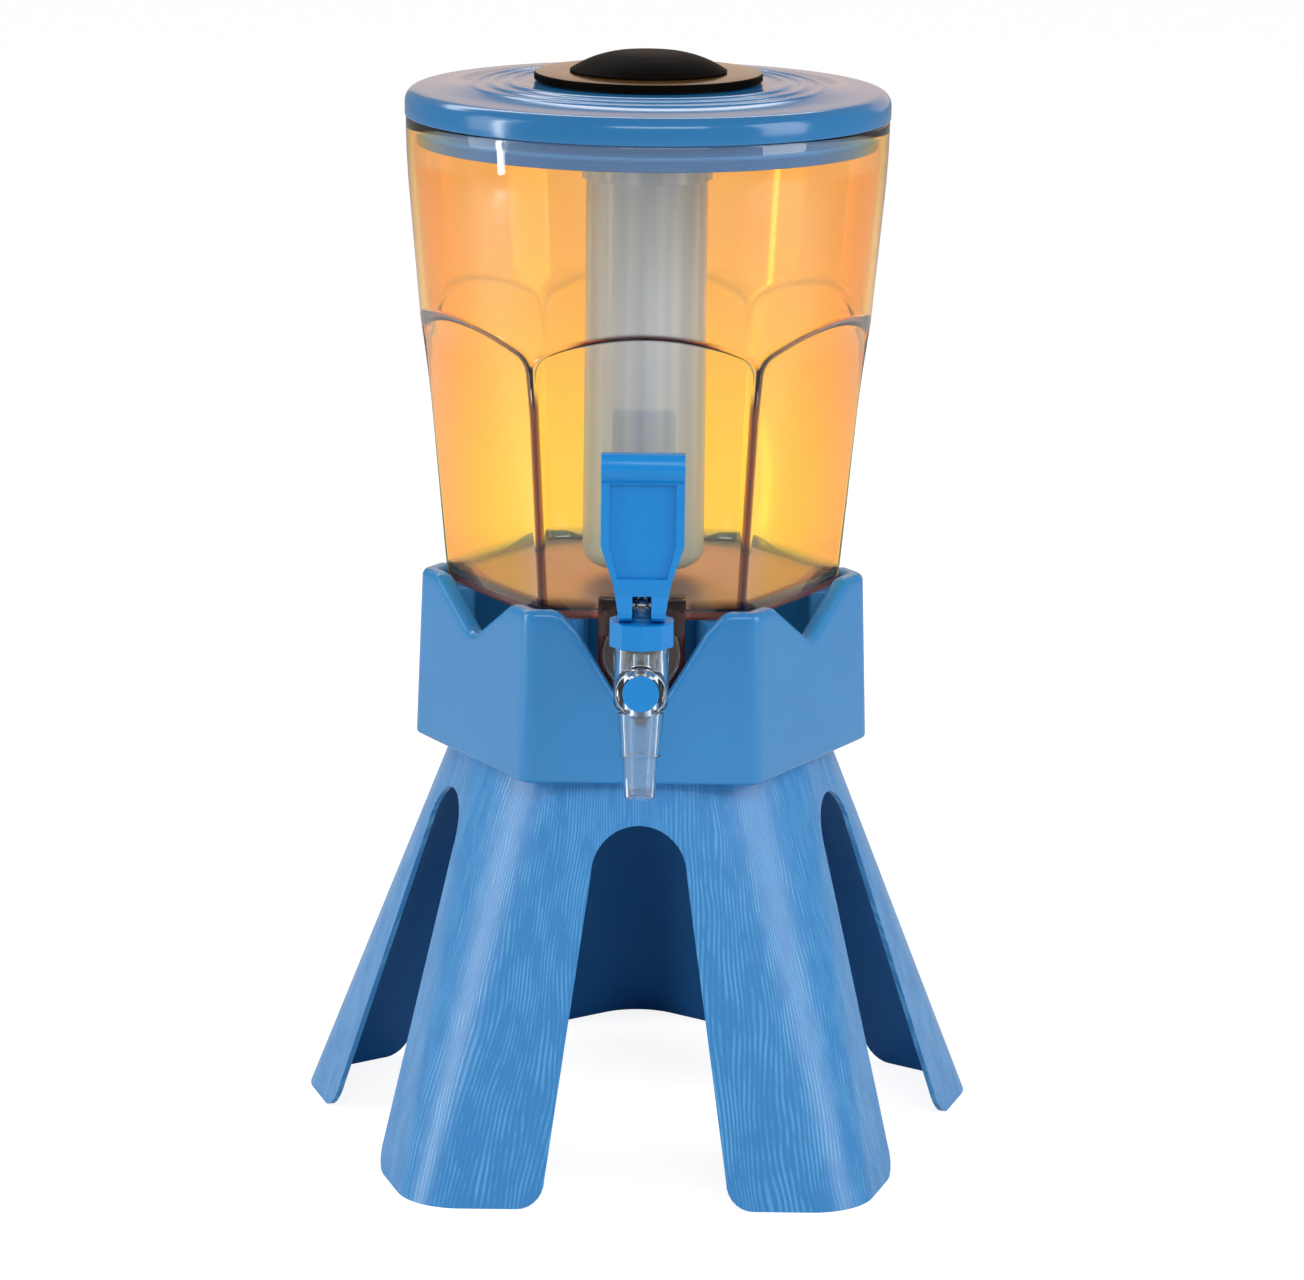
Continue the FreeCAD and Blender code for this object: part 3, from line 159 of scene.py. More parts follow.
def wood_grained_abs():
    """Blue ABS sheet with a wood grain moulded into it: fine pale lines that run down the legs, swaying a
    few mm from side to side and fading in and out, under a satin gloss."""
    spacing, sway_reach, girth_radius = 1.4, 20, 92
    lines_round = int(2 * math.pi * girth_radius / spacing)
    material, tree = new_material("skirt_wood_grained_abs")
    where = add(tree, "TexCoord")
    centred = add(
        tree,
        "VectorMath",
        {0: where.outputs["Object"], 1: (0.0, AXIS_Y, 0.0)},
        operation="SUBTRACT",
    )
    level = add(tree, "VectorMath", {0: centred.outputs[0], 1: (1.0, 1.0, 0.0)}, operation="MULTIPLY")
    heading = add(tree, "VectorMath", {0: level.outputs[0]}, operation="NORMALIZE")
    girth = add(tree, "VectorMath", {0: heading.outputs[0], "Scale": girth_radius * MM}, operation="SCALE")
    upright = add(tree, "VectorMath", {0: centred.outputs[0], 1: (0.0, 0.0, 0.30)}, operation="MULTIPLY")
    drawn_out = add(tree, "VectorMath", {0: girth.outputs[0], 1: upright.outputs[0]}, operation="ADD")
    sway = add(
        tree,
        "TexNoise",
        {"Vector": drawn_out.outputs[0], "Scale": per_mm(28), "Detail": 2.5, "Roughness": 0.45},
    )
    side = add(tree, "SeparateXYZ", {0: heading.outputs[0]})
    turn = add(tree, "Math", {0: side.outputs["Y"], 1: side.outputs["X"]}, operation="ARCTAN2")
    steady = add(tree, "Math", {0: turn.outputs[0], 1: float(lines_round)}, operation="MULTIPLY")
    phase = add(
        tree,
        "Math",
        {0: sway.outputs["Fac"], 1: 2 * math.pi * sway_reach / spacing, 2: steady.outputs[0]},
        operation="MULTIPLY_ADD",
    )
    wave = add(tree, "Math", {0: phase.outputs[0]}, operation="SINE")
    line = add(tree, "MapRange", {"Value": wave.outputs[0], "From Min": -0.4, "From Max": 1.0})
    fading = add(
        tree,
        "TexNoise",
        {"Vector": drawn_out.outputs[0], "Scale": per_mm(4.5), "Detail": 3.0, "Roughness": 0.6},
    )
    weight = add(
        tree,
        "MapRange",
        {"Value": fading.outputs["Fac"], "From Min": 0.40, "From Max": 0.62, "To Min": 0.12},
    )
    crest = add(
        tree,
        "Math",
        {0: line.outputs["Result"], 1: weight.outputs["Result"]},
        operation="MULTIPLY",
    )
    tint = add(
        tree,
        "MixRGB",
        {"Fac": crest.outputs[0], "Color1": linear("#3484C6"), "Color2": linear("#5EAAE2")},
    )
    rough = add(tree, "MapRange", {"Value": crest.outputs[0], "To Min": 0.34, "To Max": 0.24})
    bump = add(tree, "Bump", {"Strength": 0.3, "Distance": 0.12 * MM, "Height": crest.outputs[0]})
    shader = add(
        tree,
        "BsdfPrincipled",
        {
            "Base Color": tint.outputs[0],
            "Roughness": rough.outputs["Result"],
            "IOR": 1.53,
            "Normal": bump.outputs["Normal"],
        },
    )
    add(tree, "OutputMaterial", {"Surface": shader.outputs[0]})
    return material


def let_light_through(tree, shader, tint):
    """Light passes on through a clear wall, so what stands behind it isn't left in full shadow."""
    light = add(tree, "LightPath")
    clear = add(tree, "BsdfTransparent", {"Color": tint})
    return add(
        tree,
        "MixShader",
        {0: light.outputs["Is Shadow Ray"], 1: shader.outputs[0], 2: clear.outputs[0]},
    )


def clear_san_painted_backlight():
    """Clear SAN, blow-moulded. Its amber is painted light, for orange light from behind that shows through
    it: deeper from the front to the back, orange high up, yellower low down, nearly clear in the lowest few
    mm above the floor, and nearly clear at the rim in front, where the lid's plug stands behind it. The
    floor's reddish brown is painted light too, and the floor is hazy. The dark lines along the facets'
    edges are painted shade, for the dark refraction there."""
    material, tree = new_material("tank_san_painted_amber_backlight")
    where = add(tree, "TexCoord")
    parts = add(tree, "SeparateXYZ", {0: where.outputs["Object"]})
    # Painted light: the amber grows from the front wall to the back, where the orange light from behind
    # shows most.
    depth = add(
        tree,
        "MapRange",
        {
            "Value": parts.outputs["Y"],
            "From Min": AXIS_Y - 62 * MM,
            "From Max": AXIS_Y - 2 * MM,
            "To Min": 0.03,
            "To Max": 1.14,
        },
    )
    flank = add(
        tree,
        "MapRange",
        {
            "Value": parts.outputs["Y"],
            "From Min": AXIS_Y - 42 * MM,
            "From Max": AXIS_Y - 22 * MM,
            "To Min": 0.3,
        },
    )
    rim = add(
        tree,
        "MapRange",
        {
            "Value": parts.outputs["Z"],
            "From Min": (RIM_Z - 16.5) * MM,
            "From Max": (RIM_Z - 13.5) * MM,
            "To Min": 1.0,
            "To Max": flank.outputs["Result"],
        },
    )
    foot = add(
        tree,
        "MapRange",
        {
            "Value": parts.outputs["Z"],
            "From Min": (TANK_Z + 5) * MM,
            "From Max": (TANK_Z + 7) * MM,
            "To Min": 0.1,
        },
    )
    ends = add(tree, "Math", {0: rim.outputs[0], 1: foot.outputs[0]}, operation="MULTIPLY")
    strength = add(tree, "Math", {0: depth.outputs[0], 1: ends.outputs[0]}, operation="MULTIPLY")
    # Painted light: yellower low down and orange high up.
    rise = add(
        tree,
        "MapRange",
        {"Value": parts.outputs["Z"], "From Min": (TANK_Z + 20) * MM, "From Max": (TANK_Z + 125) * MM},
        interpolation_type="SMOOTHSTEP",
    )
    full = add(
        tree,
        "MixRGB",
        {"Fac": rise.outputs["Result"], "Color1": linear("#FFCC04"), "Color2": linear("#F6AE40")},
    )
    amber = add(tree, "Gamma", {"Color": full.outputs[0], "Gamma": strength.outputs[0]})
    # Painted light: the floor and the wall's lowest 3.5 mm take a reddish brown, for the reflections and
    # light seen in the floor.
    floor = add(
        tree,
        "MapRange",
        {
            "Value": parts.outputs["Z"],
            "From Min": (TANK_Z + 3.2) * MM,
            "From Max": (TANK_Z + 3.8) * MM,
            "To Min": 1.0,
            "To Max": 0.0,
        },
    )
    painted_floor = add(
        tree,
        "MixRGB",
        {"Fac": floor.outputs["Result"], "Color1": amber.outputs[0], "Color2": linear("#C65238")},
    )
    # Painted shade: the edge attribute holds dark lines painted along the facets' edges, the arches, the
    # foot and the floor's edge.
    edge = add(tree, "Attribute", attribute_name="edge")
    colour = add(
        tree,
        "MixRGB",
        {"Fac": edge.outputs["Fac"], "Color1": painted_floor.outputs[0], "Color2": linear("#5A2C24")},
    )
    rough = add(tree, "MapRange", {"Value": floor.outputs["Result"], "To Min": 0.02, "To Max": 0.35})
    shader = add(
        tree,
        "BsdfPrincipled",
        {
            "Base Color": colour.outputs[0],
            "Roughness": rough.outputs["Result"],
            "IOR": 1.57,
            "Transmission Weight": 1.0,
        },
    )
    lit = let_light_through(tree, shader, (0.89, 0.87, 0.84, 1.0))
    add(tree, "OutputMaterial", {"Surface": lit.outputs[0]})
    return material


def clear_san():
    """Clear SAN, injection-moulded: colourless and bright, with a slight waviness from the tool."""
    material, tree = new_material("tap_clear_san")
    where = add(tree, "TexCoord")
    waviness = add(tree, "TexNoise", {"Vector": where.outputs["Object"], "Scale": per_mm(5), "Detail": 1.0})
    bump = add(tree, "Bump", {"Strength": 0.10, "Distance": 0.3 * MM, "Height": waviness.outputs["Fac"]})
    shader = add(
        tree,
        "BsdfPrincipled",
        {
            "Base Color": linear("#EDF2F4"),
            "Roughness": 0.04,
            "IOR": 1.57,
            "Transmission Weight": 1.0,
            "Normal": bump.outputs["Normal"],
        },
    )
    lit = let_light_through(tree, shader, (0.86, 0.88, 0.90, 1.0))
    add(tree, "OutputMaterial", {"Surface": lit.outputs[0]})
    return material


def frosted_polypropylene():
    """Natural polypropylene, blow-moulded: milky grey, painted bluer towards its foot to offset the amber
    light that reaches it there, with faint flow lines down its length, drawn lighter so that they also
    stand in for reflected light: a painted highlight."""
    material, tree = new_material("tube_frosted_polypropylene")
    where = add(tree, "TexCoord")
    stretched = add(
        tree, "VectorMath", {0: where.outputs["Object"], 1: (1.0, 1.0, 0.03)}, operation="MULTIPLY"
    )
    # Partly painted highlight: flow lines, drawn lighter so that they also stand in for light reflected
    # down the tube.
    flow = add(tree, "TexNoise", {"Vector": stretched.outputs[0], "Scale": per_mm(8), "Detail": 1.0})
    streak = add(tree, "MapRange", {"Value": flow.outputs["Fac"], "From Min": 0.42, "From Max": 0.68})
    tint = add(
        tree,
        "MixRGB",
        {"Fac": streak.outputs["Result"], "Color1": linear("#8E96A6"), "Color2": linear("#AEB6C4")},
    )
    parts = add(tree, "SeparateXYZ", {0: where.outputs["Object"]})
    # Painted light: bluer towards the foot, to offset the amber light that reaches it there.
    low = add(
        tree,
        "MapRange",
        {
            "Value": parts.outputs["Z"],
            "From Min": (TUBE_Z - 139.9) * MM,
            "From Max": (TUBE_Z - 24.9) * MM,
            "To Min": 0.7,
            "To Max": 0.0,
        },
    )
    painted_bluer_foot = add(
        tree,
        "MixRGB",
        {"Fac": low.outputs["Result"], "Color1": tint.outputs[0], "Color2": linear("#808EB8")},
    )
    shader = add(
        tree,
        "BsdfPrincipled",
        {
            "Base Color": painted_bluer_foot.outputs[0],
            "Roughness": 0.28,
            "IOR": 1.49,
            "Subsurface Weight": 0.15,
            "Subsurface Scale": 4 * MM,
        },
    )
    add(tree, "OutputMaterial", {"Surface": shader.outputs[0]})
    return material


def moulded_silicone(name, colour, shade):
    """Moulded silicone: soft and matt, with a bloom of dust on it. Real dust is finer than the 0.8 mm grain
    that is drawn here, which would not show."""
    material, tree = new_material(name)
    where = add(tree, "TexCoord")
    grain = add(tree, "TexNoise", {"Vector": where.outputs["Object"], "Scale": per_mm(0.8), "Detail": 2.0})
    tint = add(
        tree,
        "MixRGB",
        {"Fac": grain.outputs["Fac"], "Color1": linear(colour), "Color2": linear(shade)},
    )
    shader = add(
        tree, "BsdfPrincipled", {"Base Color": tint.outputs[0], "Roughness": 0.55, "IOR": 1.41}
    )
    add(tree, "OutputMaterial", {"Surface": shader.outputs[0]})
    return material


def stainless_steel():
    """Drawn stainless steel: bright grey, with drawing marks that blur its reflections. Real marks are
    finer, and are drawn 0.5 mm wide so that they show."""
    material, tree = new_material("hardware_stainless_steel")
    where = add(tree, "TexCoord")
    marks = add(tree, "TexNoise", {"Vector": where.outputs["Object"], "Scale": per_mm(0.5), "Detail": 2.0})
    rough = add(tree, "MapRange", {"Value": marks.outputs["Fac"], "To Min": 0.18, "To Max": 0.34})
    shader = add(
        tree,
        "BsdfPrincipled",
        {"Base Color": linear("#C4C2BC"), "Metallic": 1.0, "Roughness": rough.outputs["Result"]},
    )
    add(tree, "OutputMaterial", {"Surface": shader.outputs[0]})
    return material


def pale_table():
    """A seamless matt pale table. To the eye and through glass it also glows, so it is plain white and
    keeps the tower's shadow."""
    material, tree = new_material("pale_table")
    ray = add(tree, "LightPath")
    seen_or_through = add(
        tree,
        "Math",
        {0: ray.outputs["Is Camera Ray"], 1: ray.outputs["Is Transmission Ray"]},
        operation="ADD",
        use_clamp=True,
    )
    matt = add(tree, "BsdfDiffuse", {"Color": linear("#F2F2F0")})
    glow = add(tree, "Emission", {"Color": (1.0, 1.0, 1.0, 1.0), "Strength": 1.45})
    share = add(tree, "Math", {0: seen_or_through.outputs[0], 1: 0.6}, operation="MULTIPLY")
    both = add(tree, "MixShader", {0: share.outputs[0], 1: matt.outputs[0], 2: glow.outputs[0]})
    add(tree, "OutputMaterial", {"Surface": both.outputs[0]})
    return material


WOOD_GRAIN = wood_grained_abs()
# Painted shade: a darker blue for the skirt's inside and deck, which lie in shade.
SKIRT_INSIDE_PAINTED_SHADE = polished_abs("skirt_inside_abs_painted_shade", "#1C609E", "#1A5890", roughness=0.36, gloss=0.15)
COLLAR_ABS = polished_abs("collar_abs", "#2A80C0", "#3088C8")
LID_ABS = polished_abs("lid_abs", "#2472AC", "#2A7AB4", roughness=0.15, haze=0.03)
# Painted shade: the lid's plug wall, below the rim inside the tank, takes the lid's blue made darker for
# the shade it stands in.
LID_PLUG_PAINTED_SHADE = polished_abs("lid_plug_abs_painted_shade", "#165488", "#1A5A90", roughness=0.30, gloss=0.3)
LEVER_ABS = polished_abs("lever_abs", "#0A84D4", "#108CDA", roughness=0.26, gloss=0.35)
BLACK_ABS = polished_abs("plug_black_abs", "#0A0806", "#100D0A", roughness=0.45, gloss=0.01)
# Painted reflection: the cap's black top is painted golden brown for the warm light that it reflects.
CAP_TOP_PAINTED_REFLECTION = polished_abs(
    "cap_black_abs_painted_reflection", "#4C3010", "#5C3C14", roughness=0.14, haze=0.04, gloss=0.12
)
WHITE_ABS = polished_abs("lock_nut_white_abs", "#E8E8E4", "#DEDED8", roughness=0.30)
TANK_SAN = clear_san_painted_backlight()
TAP_SAN = clear_san()
TUBE_PP = frosted_polypropylene()
GREY_SILICONE = moulded_silicone("seal_grey_silicone", "#33393D", "#454C50")
BROWN_SILICONE = moulded_silicone("tap_gasket_brown_silicone", "#5A4036", "#6A4C40")
BLUE_SILICONE = moulded_silicone("lid_seal_blue_silicone", "#2E689C", "#3674A8")
STEEL = stainless_steel()


# Making meshes.


def rounded(corners, steps=5):
    """An outline from (across, up) or (across, up, radius) corners, with an arc at each radius."""
    points = []
    for number, corner in enumerate(corners):
        here = Vector(corner[:2])
        if len(corner) == 2:
            points.append(tuple(here))
            continue
        to_last = Vector(corners[number - 1][:2]) - here
        to_next = Vector(corners[(number + 1) % len(corners)][:2]) - here
        half = to_last.angle(to_next) / 2
        reach = min(corner[2] / math.tan(half), to_last.length * 0.49, to_next.length * 0.49)
        start = here + to_last.normalized() * reach
        end = here + to_next.normalized() * reach
        centre = here + (to_last.normalized() + to_next.normalized()).normalized() * reach / math.cos(half)
        turn = (start - centre).angle_signed(end - centre)
        for step in range(steps + 1):
            arm = start - centre
            arm.rotate(Matrix.Rotation(-turn * step / steps, 2))
            points.append(tuple(centre + arm))
    return points


def bands(rings):
    """The faces between closed rings of points. Each ring is the numbers of its points."""
    faces = []
    for lower, upper in zip(rings, rings[1:]):
        for number in range(len(lower)):
            after = (number + 1) % len(lower)
            faces.append([lower[number], lower[after], upper[after], upper[number]])
    return faces


def lathe(outline, around=96, y=0.0, z=0.0, lying=False):
    """Points and faces of an outline of (radius, level) turned about an upright axis, or about one that
    lies along Y, with levels counted towards the front."""
    points, rings = [], []
    for radius, level in outline:
        if radius < 1e-6:
            rings.append([len(points)] * around)
            points.append((0.0, y - level, z) if lying else (0.0, y, z + level))
            continue
        rings.append(list(range(len(points), len(points) + around)))
        for step in range(around):
            turn = 2 * math.pi * step / around
            across, other = radius * math.sin(turn), radius * math.cos(turn)
            points.append((across, y - level, z + other) if lying else (across, y + other, z + level))
    faces = []
    for number, ring in enumerate(rings):
        following = rings[(number + 1) % len(rings)]
        for step in range(around):
            after = (step + 1) % around
            corners = [ring[step], ring[after], following[after], following[step]]
            face = [c for n, c in enumerate(corners) if c not in corners[:n]]
            if len(face) > 2:
                faces.append(face)
    return points, faces


def block(low, high, edge):
    """Points and faces of a block with rounded edges."""
    made = bmesh.new()
    bmesh.ops.create_cube(made, size=1.0)
    for vertex in made.verts:
        vertex.co = Vector(between(a, b, c + 0.5) for a, b, c in zip(low, high, vertex.co))
    if edge:
        bmesh.ops.bevel(made, geom=made.edges[:], offset=edge, segments=3, affect="EDGES", profile=0.5)
    points = [tuple(vertex.co) for vertex in made.verts]
    faces = [[vertex.index for vertex in face.verts] for face in made.faces]
    made.free()
    return points, faces


def new_object(name, points, faces, face_kinds=None, edge=None):
    """A mesh object from points in millimetres, with its outside found and near points joined."""
    mesh = bpy.data.meshes.new(name)
    mesh.from_pydata([place(*point) for point in points], [], faces)
    if face_kinds:
        mesh.polygons.foreach_set("material_index", face_kinds)
    if edge:
        mesh.attributes.new("edge", "FLOAT", "POINT").data.foreach_set("value", edge)
    made = bmesh.new()
    made.from_mesh(mesh)
    bmesh.ops.remove_doubles(made, verts=made.verts, dist=0.004 * MM)
    bmesh.ops.recalc_face_normals(made, faces=made.faces)
    made.to_mesh(mesh)
    made.free()
    thing = bpy.data.objects.new(name, mesh)
    bpy.context.scene.collection.objects.link(thing)
    return thing


def join_solids(base, tools, work):
    """Join solids to a base (UNION), or cut them out of it (DIFFERENCE), and keep only the outcome."""
    for tool in tools:
        step = base.modifiers.new(work, "BOOLEAN")
        step.operation = work
        step.solver = "EXACT"
        step.object = tool
    seen = base.evaluated_get(bpy.context.evaluated_depsgraph_get())
    mesh = bpy.data.meshes.new_from_object(seen)
    mesh.materials.clear()
    base.modifiers.clear()
    base.data = mesh
    for tool in tools:
        bpy.data.objects.remove(tool)
    return base


def dress(thing, materials, body, slot, *nodes, angle):
    """Give a piece its materials, smooth shading up to an angle, and its body, and hide the CAD nodes that
    it stands for. The slot is not used.
    """
    for material in materials:
        thing.data.materials.append(material)
    thing.data.shade_smooth()
    thing.data.set_sharp_from_angle(angle=math.radians(angle))
    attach(thing, body)
    if nodes:
        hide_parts(*nodes)
    return thing


def merged(*parts):
    """Several sets of points and faces as one set."""
    points, faces = [], []
    for more_points, more_faces in parts:
        faces += [[index + len(points) for index in face] for face in more_faces]
        points += more_points
    return points, faces


# The skirt: five legs bent from one sheet, round at the top and five-sided at the table. The arches between
# them are half circles at the top.

LEGS = 5
SHEET = 2.0
ARCH_TOP = 131.6
ARCH_CROWN = 17.2
ARCH_FOOT = 32.4
ARCH_SPRING = ARCH_TOP - ARCH_CROWN
LEG_ROUND = 10.0
DECK_UNDER = 144.5
DECK_HOLE = 40.0


def arch_half(level):
    """Half width of the gap between two legs."""
    if level >= ARCH_TOP:
        return 0.0
    if level > ARCH_SPRING:
        return math.sqrt(max(ARCH_CROWN**2 - (level - ARCH_SPRING) ** 2, 0.0))
    if level >= LEG_ROUND:
        return between(ARCH_FOOT, ARCH_CROWN, (level - LEG_ROUND) / (ARCH_SPRING - LEG_ROUND))
    return ARCH_FOOT + LEG_ROUND - math.sqrt(LEG_ROUND**2 - (LEG_ROUND - level) ** 2)


def leg_row(leg, level, inset):
    """Points across one leg at a level, from the edge of one arch round the bend to the next."""
    share = level / SKIRT_HEIGHT
    apothem = between(110.1, 67.5, share) - inset
    bend = between(24.0, 58.0, share) - inset
    half = math.pi / LEGS
    flat = (apothem - bend) * math.tan(half)
    corner = math.pi / 2 + 2 * half * leg
    flats = []
    for side in (-1, 1):
        facing = corner + side * half
        out = Vector((math.cos(facing), math.sin(facing)))
        over = Vector((-math.sin(facing), math.cos(facing))) * -side
        steps = [between(arch_half(level), flat, n / 9) for n in range(9)]
        points = [out * apothem + over * step for step in steps]
        flats.append(points if side < 0 else points[::-1])
    middle = Vector((math.cos(corner), math.sin(corner))) * (apothem - bend) / math.cos(half)
    turns = [corner + half * between(-1, 1, n / 20) for n in range(21)]
    bend_points = [middle + Vector((math.cos(t), math.sin(t))) * bend for t in turns]
    return [(p.x, p.y, level) for p in flats[0] + bend_points + flats[1]]


def make_skirt():
    """The legs' outside is grained. Their inside and the deck, with its round hole, are plain, in a darker
    blue that is painted shade.
    """
    levels = [LEG_ROUND * (1 - math.cos(math.pi / 2 * n / 7)) for n in range(8)]
    levels += [between(LEG_ROUND, ARCH_SPRING, n / 16) for n in range(1, 17)]
    levels += [ARCH_SPRING + ARCH_CROWN * math.sin(math.pi / 2 * n / 12) for n in range(1, 13)]
    levels += [136.0, 140.0, DECK_UNDER]
    points, faces, kinds = [], [], []
    grained, plain = 0, 1

    def add_rows(rows, kind):
        """Points in open rows, and the faces between them."""
        width = len(rows[0])
        start = len(points)
        for row in rows:
            points.extend(row)
        for n in range(len(rows) - 1):
            for m in range(width - 1):
                first = start + n * width + m
                faces.append([first, first + 1, first + width + 1, first + width])
                kinds.append(kind)

    for leg in range(LEGS):
        outer = [leg_row(leg, level, 0.0) for level in levels + [SKIRT_HEIGHT]]
        inner = [leg_row(leg, level, SHEET) for level in levels]
        add_rows(outer, grained)
        add_rows(inner, plain)
        add_rows([outer[0], inner[0]], grained)
        arched = [n for n, level in enumerate(levels) if level <= ARCH_TOP + 1e-6]
        for side in (0, -1):
            add_rows([[outer[n][side] for n in arched], [inner[n][side] for n in arched]], grained)
        rims = []
        for row in (outer[-1], inner[-1]):
            length = [DECK_HOLE / math.hypot(x, y) for x, y, _ in row]
            rims.append([(x * k, y * k, z) for (x, y, z), k in zip(row, length)])
        add_rows([outer[-1], *rims, inner[-1]], plain)
    skirt = new_object("leg_skirt_sheet", points, faces, kinds)
    trim = skirt.modifiers.new("edge", "BEVEL")
    trim.width = 0.45 * MM
    trim.segments = 2
    trim.limit_method = "ANGLE"
    trim.angle_limit = math.radians(50)
    return dress(skirt, [WOOD_GRAIN, SKIRT_INSIDE_PAINTED_SHADE], "stand", "skirt_plastic", "leg_skirt", angle=40)


# The collar: a six-cornered crown, notched on each flat side. Its notches are outlines of (across, level)
# or (across, level, round), closed far above the top.

FACES = 6
COLLAR_TALL = 62.5
COLLAR_WALL = 6.8
COLLAR_FLOOR = 3.0
COLLAR_BEND = 6.5
COLLAR_FLAT = 37.3
COLLAR_LIP = 2.6
COLLAR_FOOT = 1.6
BEND_COLUMNS = 7
POST_TALL = 58

SIDE_NOTCH = [
    (-60, COLLAR_TALL),
    (-28, COLLAR_TALL, 7.0),
    (0, 44.9, 8.5),
    (28, COLLAR_TALL, 7.0),
    (60, COLLAR_TALL),
    (60, 90),
    (-60, 90),
]
TAP_NOTCH = [
    (-60, COLLAR_TALL),
    (-30, COLLAR_TALL, 7.0),
    (-23, 55.5, 9.0),
    (-3.2, 22.5, 3.5),
    (3.2, 22.5, 3.5),
    (23, 55.5, 9.0),
    (30, COLLAR_TALL, 7.0),
    (60, COLLAR_TALL),
    (60, 90),
    (-60, 90),
]


def notched_top(notch, places):
    """The levels of a notched top at places across a flat side."""
    outline = [p for p in rounded(notch, steps=10) if p[1] < 80]
    across = [p[0] for p in outline]
    level = [p[1] for p in outline]
    return [float(np.interp(x, across, level)) for x in places]


def collar_row(level, inset, bend, columns):
    """Points round the collar at a level: columns across each flat side, then its bent corner."""
    apothem = between(72.9, 71.0, level / COLLAR_TALL) - inset
    half = math.pi / FACES
    flat = (apothem - bend) * math.tan(half)
    row = []
    for face in range(FACES):
        facing = -math.pi / 2 + 2 * half * face
        out = Vector((math.cos(facing), math.sin(facing)))
        over = Vector((-math.sin(facing), math.cos(facing)))
        corner = facing + half
        for share in columns:
            row.append(out * apothem + over * flat * share)
        middle = Vector((math.cos(corner), math.sin(corner))) * (apothem - bend) / math.cos(half)
        for n in range(1, BEND_COLUMNS + 1):
            turn = corner + half * between(-1, 1, n / (BEND_COLUMNS + 1))
            row.append(middle + Vector((math.cos(turn), math.sin(turn))) * bend)
    return row


def collar_section():
    """The wall's section from the foot over the lip to the floor, as (inset, share of the top's level,
    offset) for each row."""
    section = []
    for n in range(5):
        turn = math.pi / 2 * n / 4
        section.append((COLLAR_FOOT * (1 - math.sin(turn)), 0.0, COLLAR_FOOT * (1 - math.cos(turn))))
    for share in (0.2, 0.4, 0.6, 0.8, 0.92):
        section.append((0.0, share, between(COLLAR_FOOT, -COLLAR_LIP, share)))
    turns = [math.pi / 2 * n / 6 for n in range(7)]
    section += [(COLLAR_LIP * (1 - math.cos(t)), 1.0, COLLAR_LIP * (math.sin(t) - 1)) for t in turns]
    section += [
        (COLLAR_WALL - COLLAR_LIP * (1 - math.sin(t)), 1.0, COLLAR_LIP * (math.cos(t) - 1)) for t in turns
    ]
    for share in (0.9, 0.7, 0.5, 0.3, 0.1):
        section.append((COLLAR_WALL, share, between(COLLAR_FLOOR, -COLLAR_LIP, share)))
    return section + [(COLLAR_WALL, 0.0, COLLAR_FLOOR + 1.0), (COLLAR_WALL + 1.0, 0.0, COLLAR_FLOOR)]


def make_collar():
    columns = [n / 36 for n in range(-36, 37)]
    places = [COLLAR_FLAT * share for share in columns]
    tops = []
    for face in range(FACES):
        tops += notched_top(TAP_NOTCH if face == 0 else SIDE_NOTCH, places) + [COLLAR_TALL] * BEND_COLUMNS
    points, rings = [], []
    for inset, share, offset in collar_section():
        bend = max(COLLAR_BEND - inset, 1.5)
        rings.append(range(len(points), len(points) + len(tops)))
        whole = collar_row(COLLAR_TALL, inset, bend, columns)
        base = collar_row(0.0, inset, bend, columns)
        for high, low, top in zip(whole, base, tops):
            level = top * share + offset
            spot = low.lerp(high, min(max(level / COLLAR_TALL, 0.0), 1.0))
            points.append((spot.x, spot.y, SKIRT_HEIGHT + level))
    faces = bands(rings) + [list(rings[-1]), list(rings[0])[::-1]]
    collar = new_object("crown_collar_shell", points, faces)
    make_collar_posts()
    return dress(collar, [COLLAR_ABS], "stand", "blue_plastic", "crown_collar", angle=50)


def make_collar_posts():
    """Inside each corner, a post that carries the tank, and the boss of a screw."""
    posts = []
    post_points, post_faces = block((61.5, -12, 2), (74.5, 12, POST_TALL), 0.8)
    boss = rounded([(1.95, 2), (4.6, 2), (4.6, 16, 0.6), (1.95, 16, 0.4)])
    boss_points, boss_faces = lathe(boss, around=24)
    for face in range(FACES):
        corner = math.radians(60 * face)
        cosine, sine = math.cos(corner), math.sin(corner)
        turned = []
        for x, y, z in post_points:
            x = min(x, 76.2 - abs(y) * math.tan(math.radians(30)))
            turned.append((x * cosine - y * sine, x * sine + y * cosine, SKIRT_HEIGHT + z))
        posts.append((turned, post_faces))
        shifted = [(x + 53 * cosine, y + 53 * sine, SKIRT_HEIGHT + z) for x, y, z in boss_points]
        posts.append((shifted, boss_faces))
    fittings = new_object("collar_posts", *merged(*posts))
    return dress(fittings, [COLLAR_ABS], "stand", "blue_plastic", angle=40)


# The tank: a cone over six arched facets. Levels are counted from its foot. Each arch is one wide bow that
# turns down into the corners through a tighter round, and is a little stretched across.

TANK_TALL = 172.5
TANK_WALL = 2.5
FOOT_CORNER = 72.2
TOP_CORNER = 80.5
SHOULDER = 93.0
CROWN = 108.0
RIDGE_FOOT = 72.0
ARCH_SIDE = 89.0
ARCH_STRETCH = 1.0125
BOW_RADIUS = 76.5
BOW_LEVEL = 28.47
ROUND_RADIUS = 8.5
ROUND_ACROSS = 30.4
ROUND_LEVEL = 89.3
ROUND_START = math.radians(64.6)


def cone_radius(level):
    """The cone's radius. Its wall turns upright towards the rim, where the lid sits on it."""
    return 81.4 + 0.0874 * (level - SHOULDER) - 0.0016 * max(level - 146, 0) ** 2


